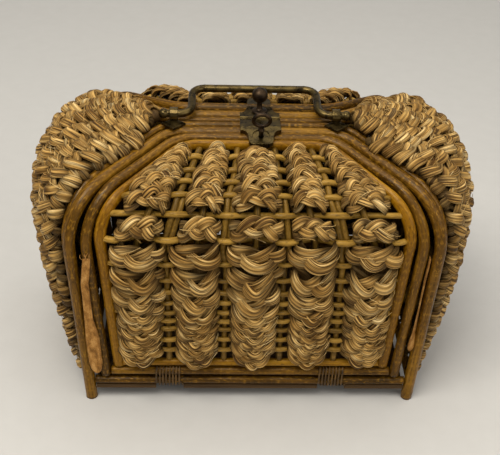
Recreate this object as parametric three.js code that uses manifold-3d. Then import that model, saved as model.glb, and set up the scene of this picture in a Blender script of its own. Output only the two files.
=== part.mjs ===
// Sewing basket in the form of a small travelling bag: a frame of bent canes, two woven
// panels and two bulging gussets of plaited straw. The front panel is a door that drops
// forward on wire hinges. Millimetres, +Z up, X across, the door faces -Y.
// The origin is on the floor under the middle of the basket.
import * as THREE from 'three';
import { mergeVertices } from 'three/addons/utils/BufferGeometryUtils.js';
import Module from 'manifold-3d';

const wasm = await Module();
wasm.setup();

// Body frame: the two hoops whose ends are the four feet
const footHalfWidth = 118.5;
const footHalfDepth = 78;
const shoulderHalfWidth = 127;
const shoulderHalfDepth = 84.5;
const shoulderHeight = 171.5;
const ridgeHalfWidth = 61;
const ridgeHalfDepth = 11.5;
const ridgeHeight = 188.5;
const hoopRadius = 4.25;
const shoulderBendRadius = 40;
const ridgeBendRadius = 26;
const footAllowance = 10;
const meshGap = 0.35;

// Canes that follow the gusset side of each body hoop
const edgeCaneRadius = 2.7;
const edgeCaneFootHeight = 24;
const edgeCaneOutShare = 0.34;
const edgeCaneInShare = 0.94;
const edgeCaneShoulderOut = 3.2;
const edgeCaneShoulderIn = 6.9;
const edgeCaneRidgeOut = 4.5;
const edgeCaneRidgeHalfDepth = 3.6;

// Rails, battens and bottom board
const railRadius = 3.1;
const railHeight = 17;
const boardThickness = 3;
const boardClearance = 0.6;

// Door and rear panel frames
const panelHoopRadius = 3.75;
const panelFootGap = 5.2;
const panelShoulderGap = 3;
const panelTopGap = 0.6;
const panelRidgeInset = 7;
const panelRailRadius = 3.4;
const panelRailGap = 3.1;
const panelTopRise = 0.3;
const panelBendRadius = 36;
const innerHoopRadius = 2.9;
const innerRailRadius = 2.9;
const innerSideGap = 3.6;
const innerRailGap = 2.1;
const innerRidgeInset = 4;
const innerBendRadius = 30;

// Woven lattice
const stakeRadius = 2.25;
const weaverRadius = 1.6;
const weaveShare = 0.8;
const columnSpacing = 40;
const columnTopSpacing = 25.5;
const columnCount = 5;
const latticeEndGap = 1.2;
const doorWeaverShares = [
  0.067, 0.106, 0.156, 0.195, 0.234, 0.279, 0.33, 0.382, 0.463, 0.76, 0.815, 0.87, 0.935,
];
const rearWeaverShares = [0.106, 0.234, 0.382, 0.815, 0.935];
const shoulderCaneShares = [0.578, 0.683];

// Straw columns
const strawProud = 9.5;
const strawTopProud = 7;
const strawHalfWidth = 15.5;
const strawTopHalfWidth = 10.5;
const strawNeckThickness = 1.5;
const strawNeckHalfWidth = 7;
const strawEdgeLift = 2.8;
const strawEndGap = 1.5;
const strawCrownShare = 0.55;
const strawBackShare = 0.45;
const strawLowShare = 0.6;
const strawSeamSwell = 0.74;
const strawSeamWidth = 0.93;
const strawEndSwell = 0.45;
const strawFirstWidth = 0.8;
const strawLastWidth = 0.75;
const strawSeamStep = 0.004;
const lowerPlaitShares = [0, 0.035, 0.075, 0.115, 0.155, 0.2, 0.25, 0.31, 0.38, 0.46, 0.555];
const shoulderPlaitShares = [0.6, 0.662];
const upperPlaitShares = [0.705, 0.755, 0.805, 0.855, 0.905, 0.955, 1];

// Gussets
const gussetBulge = 24;
const gussetCrown = 7;
const gussetStrawProud = 9;
const gussetStrawGap = 0.7;
const gussetEdgeShare = 0.075;
const gussetFillShare = 0.93;
const gussetLowShare = 0.3;
const gussetSeamShare = 0.02;
const gussetFirstSwell = 0.5;
const gussetSeamWidth = 0.94;
const gussetLastWidth = 0.7;
const gussetRimShare = 0.086;
const gussetBottomShare = 0;
const gussetFullShare = 0.42;
const gussetTaperShare = 0.72;
const gussetTopBulgeShare = 0.28;
const gussetCrownStartShare = 0.5;
const gussetCrownEndShare = 0.8;
const gussetTopShares = [0.985, 0.96, 0.9];
const gussetStakeTopShares = [0.94, 0.92, 0.87];
const gussetPlaitCounts = [17, 16, 14];
const gussetWeaverShares = [0.08, 0.27, 0.46, 0.66];
const gussetStakeSteps = 8;

// Wire hinges of the door
const wireRadius = 0.6;
const wirePitch = 2.4;
const hingeTurns = 8;
const hingeOffset = 60;
const hingeClearance = 0.5;

// Handle and its two ears
const handleRodRadius = 2.8;
const handleHalfGrip = 45;
const handleReach = 33;
const handleRestAngle = 7;
const handleBendRadius = 9;
const handleHalfSpan = 68.2;
const handlePivotDepth = 3;
const handlePivotHeight = 198.6;
const finialRadius = 3.6;
const earWidth = 17;
const earDepth = 8.5;
const earThickness = 1.5;
const earBarrelRadius = 4.6;
const earBarrelLength = 5.6;
const earPostHalf = 2.4;
const earOffset = 57.4;
const earForward = 2;
const earRearShare = 0.8;

// Lock, hasp, key and knob
const lockOffset = 3.5;
const lockHalfWidth = 14.2;
const lockTipHalfWidth = 8.6;
const lockLength = 18;
const lockThickness = 3.6;
const lockTopDepth = 16.6;
const lockNeckShare = 0.22;
const lockTipShare = 0.72;
const lockEndShare = 0.5;
const haspThickness = 1.3;
const plateThickness = 1.2;
const rearPlateLength = 32;
const keyRadius = 1.6;
const keyBowRadius = 5.3;
const keyBowWire = 1.35;
const keyReach = 8.5;
const keyDepth = 2.2;
const keyClearance = 0.35;
const recessRadius = 6;
const recessDepth = 0.8;
const keyholeDrop = 9.5;
const knobRadius = 5.7;
const knobNeckRadius = 1.9;
const knobNeckHeight = 7.5;
const knobBossRadius = 5.6;
const knobBossHeight = 1.4;
const knobBossTopShare = 0.9;
const knobNeckStartShare = 1.2;
const knobDepth = 10;

// Leather straps
const strapThickness = 1.6;
const strapWidth = 9;
const strapTopGap = 3;
const strapLeftBottom = 28;
const strapRightBottom = 50;
const strapTipShare = 0.33;
const strapTipWidthShare = 0.45;
const strapTopWidthShare = 0.6;
// Rows of the left strap: shares of the way up, of the width, and of the way over to the door hoop
const strapRowShares = [
  [0, 0.5, 0.1], [0.05, 1.05, 0.1], [0.3, 1.1, 0.1], [0.4, 0.95, 0.15],
  [0.5, 0.7, 0.1], [0.8, 0.65, 0.3], [1, 0.6, 1],
];

// Facets
const caneSides = 8;
const thinSides = 5;
const weaverSides = 4;
const bendSteps = 5;
const fineStakeSteps = 4;
const tiedWeaverStep = 4;
const searchSteps = 12;
const leanStep = 0.02;
const skinStep = 0.01;
const knobSteps = 7;
const hingeStations = 8;

// Colours, roughness and metalness of the materials
const darkCane = new THREE.MeshStandardMaterial({ color: 0x5f4426, roughness: 0.38, metalness: 0 });
const amberCane = new THREE.MeshStandardMaterial({ color: 0x8a6428, roughness: 0.42, metalness: 0 });
const thinCane = new THREE.MeshStandardMaterial({ color: 0x7a6136, roughness: 0.5, metalness: 0 });
const straw = new THREE.MeshStandardMaterial({ color: 0xb59662, roughness: 0.75, metalness: 0 });
const boardWood = new THREE.MeshStandardMaterial({ color: 0x5a4428, roughness: 0.7, metalness: 0 });
const bronze = new THREE.MeshStandardMaterial({ color: 0x55503c, roughness: 0.35, metalness: 0.85 });
const darkIron = new THREE.MeshStandardMaterial({ color: 0x2b2218, roughness: 0.4, metalness: 0.8 });
const leather = new THREE.MeshStandardMaterial({ color: 0xc8915f, roughness: 0.65, metalness: 0 });

// A cane bent along a row of points; the rings of its skin stand on the points themselves.
class BentCane extends THREE.Curve {
  constructor(points) {
    super();
    this.points = points;
  }
  getPoint(share, target = new THREE.Vector3()) {
    const last = this.points.length - 1;
    const place = Math.min(share * last, last - 1e-9);
    const index = Math.floor(place);
    return target.lerpVectors(this.points[index], this.points[index + 1], place - index);
  }
  getPointAt(share, target) {
    return this.getPoint(share, target);
  }
  getTangentAt(share, target = new THREE.Vector3()) {
    const last = this.points.length - 1;
    const index = Math.round(share * last);
    const after = this.points[Math.min(index + 1, last)];
    const before = this.points[Math.max(index - 1, 0)];
    const here = this.points[index];
    const ahead = after.clone().sub(here).normalize();
    const behind = here.clone().sub(before).normalize();
    return target.copy(ahead).add(behind).normalize();
  }
  getTangent(share, target) {
    return this.getTangentAt(share, target);
  }
}

function circleShape(radius, sides) {
  const shape = new THREE.Shape();
  for (let i = 0; i < sides; i += 1) {
    const angle = ((i + 0.5) / sides) * 2 * Math.PI;
    const x = radius * Math.cos(angle);
    const y = radius * Math.sin(angle);
    if (i === 0) shape.moveTo(x, y);
    else shape.lineTo(x, y);
  }
  shape.closePath();
  return shape;
}

function caneGeometry(points, radius, sides = caneSides) {
  return new THREE.ExtrudeGeometry(circleShape(radius, sides), {
    steps: points.length - 1,
    bevelEnabled: false,
    extrudePath: new BentCane(points),
  });
}

// Rounds each inner corner of a row of points with an arc.
function bentPath(corners, radii) {
  const path = [corners[0].clone()];
  for (let i = 1; i < corners.length - 1; i += 1) {
    const corner = corners[i];
    const back = corners[i - 1].clone().sub(corner).normalize();
    const ahead = corners[i + 1].clone().sub(corner).normalize();
    const half = back.angleTo(ahead) / 2;
    const radius = radii[i - 1];
    const cut = radius / Math.tan(half);
    const middle = back.clone().add(ahead).normalize().multiplyScalar(radius / Math.sin(half)).add(corner);
    const start = back.clone().multiplyScalar(cut).add(corner).sub(middle);
    const end = ahead.clone().multiplyScalar(cut).add(corner).sub(middle);
    const sweep = start.angleTo(end);
    for (let step = 0; step <= bendSteps; step += 1) {
      const share = step / bendSteps;
      const a = Math.sin((1 - share) * sweep) / Math.sin(sweep);
      const b = Math.sin(share * sweep) / Math.sin(sweep);
      path.push(start.clone().multiplyScalar(a).addScaledVector(end, b).add(middle));
    }
  }
  path.push(corners[corners.length - 1].clone());
  return path;
}

const at = (x, y, z) => new THREE.Vector3(x, y, z);

// Half a hoop from its foot to the middle of the ridge, mirrored into a whole one.
function hoopPath(foot, shoulder, ridge, side) {
  const half = [foot, shoulder, ridge].map((p) => at(-p.x, p.y * side, p.z));
  const other = [ridge, shoulder, foot].map((p) => at(p.x, p.y * side, p.z));
  return bentPath([...half, ...other], [
    shoulderBendRadius, ridgeBendRadius, ridgeBendRadius, shoulderBendRadius,
  ]);
}

// A skin over rings of points with the same count, closed at both ends.
function loftGeometry(rings) {
  const positions = [];
  const index = [];
  const count = rings[0].length;
  rings.forEach((ring) => ring.forEach((p) => positions.push(p.x, p.y, p.z)));
  for (let r = 0; r < rings.length - 1; r += 1) {
    for (let i = 0; i < count; i += 1) {
      const j = (i + 1) % count;
      const a = r * count + i;
      const b = r * count + j;
      index.push(a, b, b + count, a, b + count, a + count);
    }
  }
  const last = (rings.length - 1) * count;
  for (let i = 1; i < count - 1; i += 1) {
    index.push(0, i + 1, i);
    index.push(last, last + i, last + i + 1);
  }
  const geometry = new THREE.BufferGeometry();
  geometry.setAttribute('position', new THREE.Float32BufferAttribute(positions, 3));
  geometry.setIndex(index);
  return outward(geometry);
}

function signedVolume(geometry) {
  const points = geometry.getAttribute('position');
  const index = geometry.getIndex();
  const a = new THREE.Vector3();
  const b = new THREE.Vector3();
  const c = new THREE.Vector3();
  let volume = 0;
  for (let i = 0; i < index.count; i += 3) {
    a.fromBufferAttribute(points, index.getX(i));
    b.fromBufferAttribute(points, index.getX(i + 1));
    c.fromBufferAttribute(points, index.getX(i + 2));
    volume += a.dot(b.cross(c)) / 6;
  }
  return volume;
}

// Turns the faces round where the rings ran the other way.
function outward(geometry) {
  if (signedVolume(geometry) > 0) return geometry;
  const turned = Array.from(geometry.getIndex().array);
  for (let i = 0; i < turned.length; i += 3) {
    [turned[i + 1], turned[i + 2]] = [turned[i + 2], turned[i + 1]];
  }
  geometry.setIndex(turned);
  return geometry;
}

function solidOf(geometry) {
  const bare = geometry.clone();
  bare.deleteAttribute('normal');
  bare.deleteAttribute('uv');
  const merged = outward(mergeVertices(bare, 1e-4));
  return new wasm.Manifold(new wasm.Mesh({
    numProp: 3,
    vertProperties: new Float32Array(merged.getAttribute('position').array),
    triVerts: new Uint32Array(merged.getIndex().array),
  }));
}

function geometryOf(solid) {
  const mesh = solid.getMesh();
  const geometry = new THREE.BufferGeometry();
  geometry.setAttribute('position', new THREE.BufferAttribute(new Float32Array(mesh.vertProperties), 3));
  geometry.setIndex(new THREE.BufferAttribute(new Uint32Array(mesh.triVerts), 1));
  return geometry;
}

function joined(geometries) {
  return geometryOf(geometries.map(solidOf).reduce((whole, piece) => whole.add(piece)));
}

const basket = new THREE.Group();

function piece(name, geometry, material) {
  const mesh = new THREE.Mesh(geometry, material);
  mesh.name = name;
  basket.add(mesh);
  return mesh;
}

const sides = [['front', -1], ['rear', 1]];
const ends = [['left', -1], ['right', 1]];

// Body hoops
const foot = at(footHalfWidth, footHalfDepth, 0);
const floorCut = new THREE.BoxGeometry(4 * shoulderHalfWidth, 4 * shoulderHalfDepth, 2 * footAllowance);
floorCut.translate(0, 0, -footAllowance);
const shoulder = at(shoulderHalfWidth, shoulderHalfDepth, shoulderHeight);
const ridge = at(ridgeHalfWidth, ridgeHalfDepth, ridgeHeight);

// The point of a body leg at a height, for what stands beside it
function legAt(height) {
  return foot.clone().lerp(shoulder, height / shoulderHeight);
}

// The legs run a little long and are cut level at the floor, so all four feet stand flat.
sides.forEach(([name, side]) => {
  const hoop = solidOf(caneGeometry(hoopPath(legAt(-hoopRadius), shoulder, ridge, side), hoopRadius));
  piece(`${name}_body_hoop`, geometryOf(hoop.subtract(solidOf(floorCut))), darkCane);
});

// Edge canes: behind each body hoop and a little outside it, from above the foot over the ridge.
// The left and the right one meet end to end in the middle, under the lock plates.
const edgeStep = hoopRadius + edgeCaneRadius + meshGap;
const edgeCaneTop = ridgeHeight + hoopRadius - edgeCaneRadius;
function edgeCanePath(side, end) {
  const beside = at(edgeStep * edgeCaneOutShare, -edgeStep * edgeCaneInShare, 0);
  const start = legAt(edgeCaneFootHeight).add(beside);
  const turn = shoulder.clone().add(at(edgeCaneShoulderOut, -edgeCaneShoulderIn, 0));
  const over = at(ridge.x + edgeCaneRidgeOut, edgeCaneRidgeHalfDepth, edgeCaneTop);
  const middle = at(meshGap / 2, edgeCaneRidgeHalfDepth, edgeCaneTop);
  return bentPath(
    [start, turn, over, middle].map((p) => at(p.x * end, p.y * side, p.z)),
    [shoulderBendRadius, ridgeBendRadius],
  );
}
sides.forEach(([name, side]) => {
  ends.forEach(([endName, end]) => {
    const path = edgeCanePath(side, end);
    piece(`edge_cane_${name}_${endName}`, caneGeometry(path, edgeCaneRadius, thinSides), darkCane);
  });
});

// Base rails between the feet, and the board nailed up under them
const railPlace = legAt(railHeight);
const railHalfLength = railPlace.x - hoopRadius - meshGap;
const sideRailHalfLength = railPlace.y - hoopRadius - meshGap;
sides.forEach(([name, side]) => {
  const y = railPlace.y * side;
  const path = [at(-railHalfLength, y, railHeight), at(railHalfLength, y, railHeight)];
  piece(`${name}_base_rail`, caneGeometry(path, railRadius), darkCane);
});
ends.forEach(([name, end]) => {
  const x = railPlace.x * end;
  const path = [at(x, -sideRailHalfLength, railHeight), at(x, sideRailHalfLength, railHeight)];
  piece(`${name}_base_rail`, caneGeometry(path, railRadius), darkCane);
});
const boardTop = railHeight - railRadius - meshGap;
const boardHalfDepth = railPlace.y + railRadius - boardClearance;
const boardHalfLength = railHalfLength - boardClearance;
const board = new THREE.BoxGeometry(2 * boardHalfLength, 2 * boardHalfDepth, boardThickness);
board.translate(0, 0, boardTop - boardThickness / 2);
const hingeLength = hingeTurns * wirePitch;
const notchDepth = 2 * (railRadius + 2 * wireRadius + boardClearance);
const boardSolid = ends.reduce((left, [, end]) => {
  const notchLength = hingeLength + 2 * boardClearance;
  const notch = new THREE.BoxGeometry(notchLength, 2 * notchDepth, 2 * boardThickness);
  notch.translate(hingeOffset * end, -boardHalfDepth, boardTop - boardThickness / 2);
  return left.subtract(solidOf(notch));
}, solidOf(board));
piece('bottom_board', geometryOf(boardSolid), boardWood);

// The side view of both woven panels: depth and height along one bent line
const panelTopHeight = ridgeHeight + panelTopRise;
const panelTopDepth = ridgeHalfDepth + hoopRadius + panelHoopRadius + panelTopGap;
const panelRailHeight = railHeight + railRadius + panelRailGap + panelRailRadius;
const innerRailHeight = panelRailHeight + panelRailRadius + innerRailGap + innerRailRadius;
const roofSlope = Math.atan2(panelTopHeight - shoulderHeight, shoulderHalfDepth - panelTopDepth);
const innerTopStep = panelHoopRadius + meshGap + innerHoopRadius;
const innerTopDepth = panelTopDepth + innerTopStep * Math.cos(roofSlope);
const innerTopHeight = panelTopHeight - innerTopStep * Math.sin(roofSlope);
const profileStart = legAt(innerRailHeight + innerRailRadius);
const profileEnd = at(0, innerTopDepth + innerHoopRadius * Math.cos(roofSlope), 0);
profileEnd.z = panelTopHeight - (profileEnd.y - panelTopDepth) * Math.tan(roofSlope);
const profilePoints = bentPath(
  [at(0, profileStart.y, profileStart.z), at(0, shoulderHalfDepth, shoulderHeight), profileEnd],
  [panelBendRadius],
);
const profileLengths = [0];
for (let i = 1; i < profilePoints.length; i += 1) {
  profileLengths.push(profileLengths[i - 1] + profilePoints[i].distanceTo(profilePoints[i - 1]));
}
const profileLength = profileLengths[profileLengths.length - 1];

// A place on the panel: x across, a share of the way up, and how far it stands out of the panel
function onPanel(side, x, share, out) {
  const along = THREE.MathUtils.clamp(share, 0, 1) * profileLength;
  let i = 1;
  while (i < profileLengths.length - 1 && profileLengths[i] < along) i += 1;
  const a = profilePoints[i - 1];
  const b = profilePoints[i];
  const onward = (along - profileLengths[i - 1]) / (profileLengths[i] - profileLengths[i - 1]);
  const place = a.clone().lerp(b, onward);
  const tangent = tangentAt(i - 1).lerp(tangentAt(i), onward).normalize();
  return at(x, (place.y + tangent.z * out) * side, place.z - tangent.y * out);
}
function tangentAt(i) {
  const after = profilePoints[Math.min(i + 1, profilePoints.length - 1)];
  const before = profilePoints[Math.max(i - 1, 0)];
  return after.clone().sub(before).normalize();
}

// Frame canes of a panel: outer hoop and rail, inner hoop and rail
const panelFoot = legAt(panelRailHeight - panelRailRadius);
const panelFootStep = hoopRadius + panelFootGap + panelHoopRadius;
const panelShoulderStep = hoopRadius + panelShoulderGap + panelHoopRadius;
panelFoot.x -= panelFootStep;
const panelShoulder = at(shoulder.x - panelShoulderStep, shoulder.y, shoulder.z);
const panelRidge = at(ridge.x - panelRidgeInset, panelTopDepth, panelTopHeight);
const innerSideStep = panelHoopRadius + innerSideGap + innerHoopRadius;
const innerFoot = legAt(innerRailHeight - innerRailRadius);
innerFoot.x -= panelFootStep + innerSideStep;
const innerShoulder = at(panelShoulder.x - innerSideStep, shoulder.y, shoulder.z - innerSideGap);
const innerRidge = at(panelRidge.x - innerRidgeInset, innerTopDepth, innerTopHeight);

function railPath(side, place, radius) {
  const half = place.x - radius - meshGap;
  return [at(-half, place.y * side, place.z), at(half, place.y * side, place.z)];
}
function panelFrame(prefix, side) {
  const outer = hoopPath(panelFoot, panelShoulder, panelRidge, side);
  const inner = bentPath(
    [innerFoot, innerShoulder, innerRidge].map((p) => at(-p.x, p.y * side, p.z))
      .concat([innerRidge, innerShoulder, innerFoot].map((p) => at(p.x, p.y * side, p.z))),
    [innerBendRadius, ridgeBendRadius, ridgeBendRadius, innerBendRadius],
  );
  const outerRail = at(panelFoot.x, legAt(panelRailHeight).y, panelRailHeight);
  const innerRail = at(innerFoot.x, legAt(innerRailHeight).y, innerRailHeight);
  piece(`${prefix}_outer_hoop`, caneGeometry(outer, panelHoopRadius), darkCane);
  const outerPath = railPath(side, outerRail, panelHoopRadius);
  piece(`${prefix}_outer_rail`, caneGeometry(outerPath, panelRailRadius), darkCane);
  piece(`${prefix}_inner_hoop`, caneGeometry(inner, innerHoopRadius), amberCane);
  const innerPath = railPath(side, innerRail, innerHoopRadius);
  piece(`${prefix}_inner_rail`, caneGeometry(innerPath, innerRailRadius), amberCane);
  return inner;
}

// Half the clear width inside the inner hoop at a share of the way up the panel
function clearHalfWidth(inner, share) {
  const place = onPanel(1, 0, share, 0);
  let nearest = Infinity;
  let half = 0;
  for (let i = 1; i < inner.length; i += 1) {
    for (let step = 0; step < searchSteps; step += 1) {
      const p = inner[i - 1].clone().lerp(inner[i], step / searchSteps);
      const away = Math.hypot(Math.abs(p.y) - place.y, p.z - place.z);
      if (p.x > 0 && away < nearest) {
        nearest = away;
        half = p.x;
      }
    }
  }
  return half;
}

// How far a piece of a given half thickness must stop short of the inner hoop at that share
function sideClearance(inner, share, halfThickness) {
  const low = Math.max(share - leanStep, 0);
  const high = Math.min(share + leanStep, 1);
  const run = (high - low) * profileLength;
  const lean = Math.abs(clearHalfWidth(inner, high) - clearHalfWidth(inner, low)) / run;
  return (innerHoopRadius + latticeEndGap) * Math.hypot(1, lean) + halfThickness * lean;
}

const bendStartShare = profileLengths[1] / profileLength;
function spacingAt(share) {
  const rise = THREE.MathUtils.clamp((share - bendStartShare) / (1 - bendStartShare), 0, 1);
  return THREE.MathUtils.lerp(columnSpacing, columnTopSpacing, rise);
}

// The least distance from a point to the middle line of a cane
function distanceTo(path, point) {
  const line = new THREE.Line3();
  const closest = new THREE.Vector3();
  let least = Infinity;
  for (let i = 1; i < path.length; i += 1) {
    line.set(path[i - 1], path[i]).closestPointToPoint(point, true, closest);
    least = Math.min(least, closest.distanceTo(point));
  }
  return least;
}

// The lattice: a stake under each straw column and one in each gap, and weavers over and under them
const weave = (stakeRadius + weaverRadius) * weaveShare;
const overNeck = stakeRadius + meshGap + strawNeckThickness + meshGap + weaverRadius;
function stakeShares(fine) {
  const gap = meshGap / profileLength;
  const shares = profileLengths
    .map((length) => THREE.MathUtils.clamp(length / profileLength, gap, 1 - gap));
  if (!fine) return shares;
  const last = shares.pop();
  const before = shares[shares.length - 1];
  for (let i = 1; i <= fineStakeSteps; i += 1) {
    shares.push(THREE.MathUtils.lerp(before, last, i / fineStakeSteps));
  }
  return shares;
}
function lattice(side, inner, weaverShares) {
  const solids = [];
  const half = (columnCount - 1) / 2;
  for (let k = -2 * half; k <= 2 * half; k += 1) {
    const outermost = Math.abs(k) > half;
    const clear = innerHoopRadius + stakeRadius + meshGap;
    const stakeAt = (share) => onPanel(side, (k / 2) * spacingAt(share), share, 0);
    const fits = (share) => !outermost || distanceTo(inner, stakeAt(share)) > clear;
    const reach = stakeShares(outermost).filter((share) => share < bendStartShare || fits(share));
    const path = reach.map(stakeAt);
    solids.push(caneGeometry(path, stakeRadius, thinSides));
  }
  const addWeaver = (share, overColumns, hold) => {
    const end = clearHalfWidth(inner, share) - sideClearance(inner, share, weaverRadius);
    const path = [onPanel(side, -end, share, 0)];
    for (let k = -2 * half; k <= 2 * half; k += 1) {
      const atColumn = k % 2 === 0;
      const x = (k / 2) * spacingAt(share);
      const stops = atColumn && hold > 0 ? [x - hold, x + hold] : [x];
      stops.filter((stop) => Math.abs(stop) < end - 2 * weaverRadius)
        .forEach((stop) => path.push(onPanel(side, stop, share, atColumn ? overColumns : weave)));
    }
    path.push(onPanel(side, end, share, 0));
    solids.push(caneGeometry(path, weaverRadius, weaverSides));
  };
  const behind = stakeRadius + weaverRadius + meshGap;
  weaverShares.forEach((share, i) => addWeaver(share, i % tiedWeaverStep === 0 ? -weave : -behind, 0));
  shoulderCaneShares.forEach((share) => addWeaver(share, overNeck, strawNeckHalfWidth + weaverRadius));
  return joined(solids);
}

// One straw column: a row of plaits that swell and draw in, with thin necks behind the shoulder canes
function strawRing(side, x, share, halfWidth, out) {
  const back = stakeRadius + meshGap;
  const edge = back + strawEdgeLift;
  const crown = back + out;
  const low = Math.min(edge, back + out * strawLowShare);
  const section = [
    [-1, low], [-strawCrownShare, crown], [strawCrownShare, crown],
    [1, low], [strawBackShare, back], [-strawBackShare, back],
  ];
  return section.map(([across, height]) => onPanel(side, x + across * halfWidth, share, height));
}
function strawColumn(side, column, inner, plaitStep) {
  const rings = [];
  const add = (share, swell, width) => {
    const rise = THREE.MathUtils.clamp((share - bendStartShare) / (1 - bendStartShare), 0, 1);
    const out = THREE.MathUtils.lerp(strawProud, strawTopProud, rise) * swell;
    const half = THREE.MathUtils.lerp(strawHalfWidth, strawTopHalfWidth, rise) * width;
    const x = column * spacingAt(share);
    const room = clearHalfWidth(inner, share) - sideClearance(inner, share, 0);
    if (share > bendStartShare && Math.abs(x) + half > room) return;
    rings.push(strawRing(side, x, share, half, out));
  };
  const first = strawEndGap / profileLength;
  const underLock = column === 0 && side < 0 ? lockTopDepth + lockLength - profileEnd.y : 0;
  const topShare = 1 - (strawEndGap + Math.max(underLock, strawEndGap)) / profileLength;
  const addNeck = (share) => {
    const reach = (weaverRadius + meshGap) / profileLength;
    [share - reach, share + reach].forEach((place) => {
      rings.push(strawRing(side, column * spacingAt(place), place, strawNeckHalfWidth, strawNeckThickness));
    });
  };
  const group = (shares, every) => {
    const used = shares.filter((share, i) => i % every === 0 || i === shares.length - 1);
    for (let i = 0; i < used.length - 1; i += 1) {
      const a = Math.max(used[i], first);
      const b = Math.min(used[i + 1], topShare);
      if (i === 0) add(a + strawSeamStep, strawEndSwell, strawFirstWidth);
      else add(a + strawSeamStep, strawSeamSwell, strawSeamWidth);
      add((a + b) / 2, 1, 1);
      if (i === used.length - 2) add(b - strawSeamStep, strawEndSwell, strawLastWidth);
    }
  };
  group(lowerPlaitShares, plaitStep);
  addNeck(shoulderCaneShares[0]);
  group(shoulderPlaitShares, 1);
  addNeck(shoulderCaneShares[1]);
  group(upperPlaitShares, 1);
  return loftGeometry(rings);
}

function wovenPanel(prefix, side, weaverShares, plaitStep) {
  const inner = panelFrame(prefix, side);
  piece(`${prefix}_lattice`, lattice(side, inner, weaverShares), thinCane);
  const half = (columnCount - 1) / 2;
  for (let column = -half; column <= half; column += 1) {
    const geometry = strawColumn(side, column, inner, plaitStep);
    piece(`${prefix}_straw_column_${column + half + 1}`, geometry, straw);
  }
}
wovenPanel('door', -1, doorWeaverShares, 1);
wovenPanel('rear', 1, rearWeaverShares, 2);

// Gussets: a bulging skin between the front and rear hoops, u from front to rear, v from foot to ridge
const hoopStart = legAt(railHeight + railRadius + meshGap);
const hoopHalf = bentPath([hoopStart, shoulder, ridge], [shoulderBendRadius]);
const hoopLengths = [0];
for (let i = 1; i < hoopHalf.length; i += 1) {
  hoopLengths.push(hoopLengths[i - 1] + hoopHalf[i].distanceTo(hoopHalf[i - 1]));
}
const hoopHalfLength = hoopLengths[hoopLengths.length - 1];
function hoopAt(share) {
  const along = THREE.MathUtils.clamp(share, 0, 1) * hoopHalfLength;
  let i = 1;
  while (i < hoopLengths.length - 1 && hoopLengths[i] < along) i += 1;
  const onward = (along - hoopLengths[i - 1]) / (hoopLengths[i] - hoopLengths[i - 1]);
  return hoopHalf[i - 1].clone().lerp(hoopHalf[i], onward);
}
function gussetSkin(u, v) {
  const rim = hoopAt(v);
  const puff = 4 * u * (1 - u);
  const rise = Math.sin((Math.PI / 2) * THREE.MathUtils.clamp(v / gussetFullShare, 0, 1));
  const taper = THREE.MathUtils.clamp((v - gussetTaperShare) / (1 - gussetTaperShare), 0, 1);
  const swell = gussetBulge * rise * THREE.MathUtils.lerp(1, gussetTopBulgeShare, taper);
  const high = THREE.MathUtils.clamp((v - gussetCrownStartShare) / (1 - gussetCrownStartShare), 0, 1);
  const crown = gussetCrown * Math.sin(Math.PI * high * gussetCrownEndShare);
  return at(rim.x + swell * puff, rim.y * (2 * u - 1), rim.z + crown * puff);
}
function onGusset(end, u, v, out) {
  const du = gussetSkin(u + skinStep, v).sub(gussetSkin(u - skinStep, v));
  const dv = gussetSkin(u, Math.min(v + skinStep, 1)).sub(gussetSkin(u, Math.max(v - skinStep, 0)));
  const normal = du.cross(dv).normalize();
  if (normal.x + normal.z < 0) normal.negate();
  const p = gussetSkin(u, v).addScaledVector(normal, out);
  return at(p.x * end, p.y, p.z);
}
const gussetPitch = (1 - 2 * gussetEdgeShare) / columnCount;
const gussetCentres = Array.from(
  { length: columnCount },
  (unused, i) => gussetEdgeShare + (i + 0.5) * gussetPitch,
);

function gussetLattice(end) {
  const solids = [];
  const half = (columnCount - 1) / 2;
  gussetCentres.forEach((u, i) => {
    const top = gussetStakeTopShares[Math.abs(i - half)];
    const path = [];
    for (let step = 0; step <= gussetStakeSteps; step += 1) {
      const v = THREE.MathUtils.lerp(gussetBottomShare, top, step / gussetStakeSteps);
      path.push(onGusset(end, u, v, 0));
    }
    solids.push(caneGeometry(path, stakeRadius, thinSides));
  });
  gussetWeaverShares.forEach((v) => {
    const crossed = gussetCentres.filter((u, i) => v < gussetStakeTopShares[Math.abs(i - half)]);
    const stops = [gussetRimShare, ...crossed, 1 - gussetRimShare];
    const path = stops.map((u) => onGusset(end, u, v, -weave));
    solids.push(caneGeometry(path, weaverRadius, weaverSides));
  });
  return joined(solids);
}

function gussetColumn(end, i) {
  const half = (columnCount - 1) / 2;
  const u = gussetCentres[i];
  const top = gussetTopShares[Math.abs(i - half)];
  const count = gussetPlaitCounts[Math.abs(i - half)];
  const rings = [];
  const add = (v, swell, width) => {
    const reach = (gussetPitch / 2) * gussetFillShare * width;
    const back = stakeRadius + gussetStrawGap;
    const crown = back + gussetStrawProud * swell;
    const low = back + gussetStrawProud * gussetLowShare * swell;
    const section = [[-1, low], [-strawCrownShare, crown], [strawCrownShare, crown], [1, low], [0, back]];
    rings.push(section.map(([across, height]) => onGusset(end, u + across * reach, v, height)));
  };
  const bottom = gussetBottomShare;
  const pitch = (top - bottom) / count;
  for (let plait = 0; plait < count; plait += 1) {
    const seam = bottom + pitch * (plait + gussetSeamShare);
    if (plait === 0) add(seam, gussetFirstSwell, strawFirstWidth);
    else add(seam, strawSeamSwell, gussetSeamWidth);
    add(bottom + pitch * (plait + 0.5), 1, 1);
  }
  add(top - pitch * gussetSeamShare, strawEndSwell, gussetLastWidth);
  return loftGeometry(rings);
}
ends.forEach(([name, end]) => {
  piece(`gusset_lattice_${name}`, gussetLattice(end), thinCane);
  gussetCentres.forEach((u, i) => piece(`gusset_straw_${name}_${i + 1}`, gussetColumn(end, i), straw));
});

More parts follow.
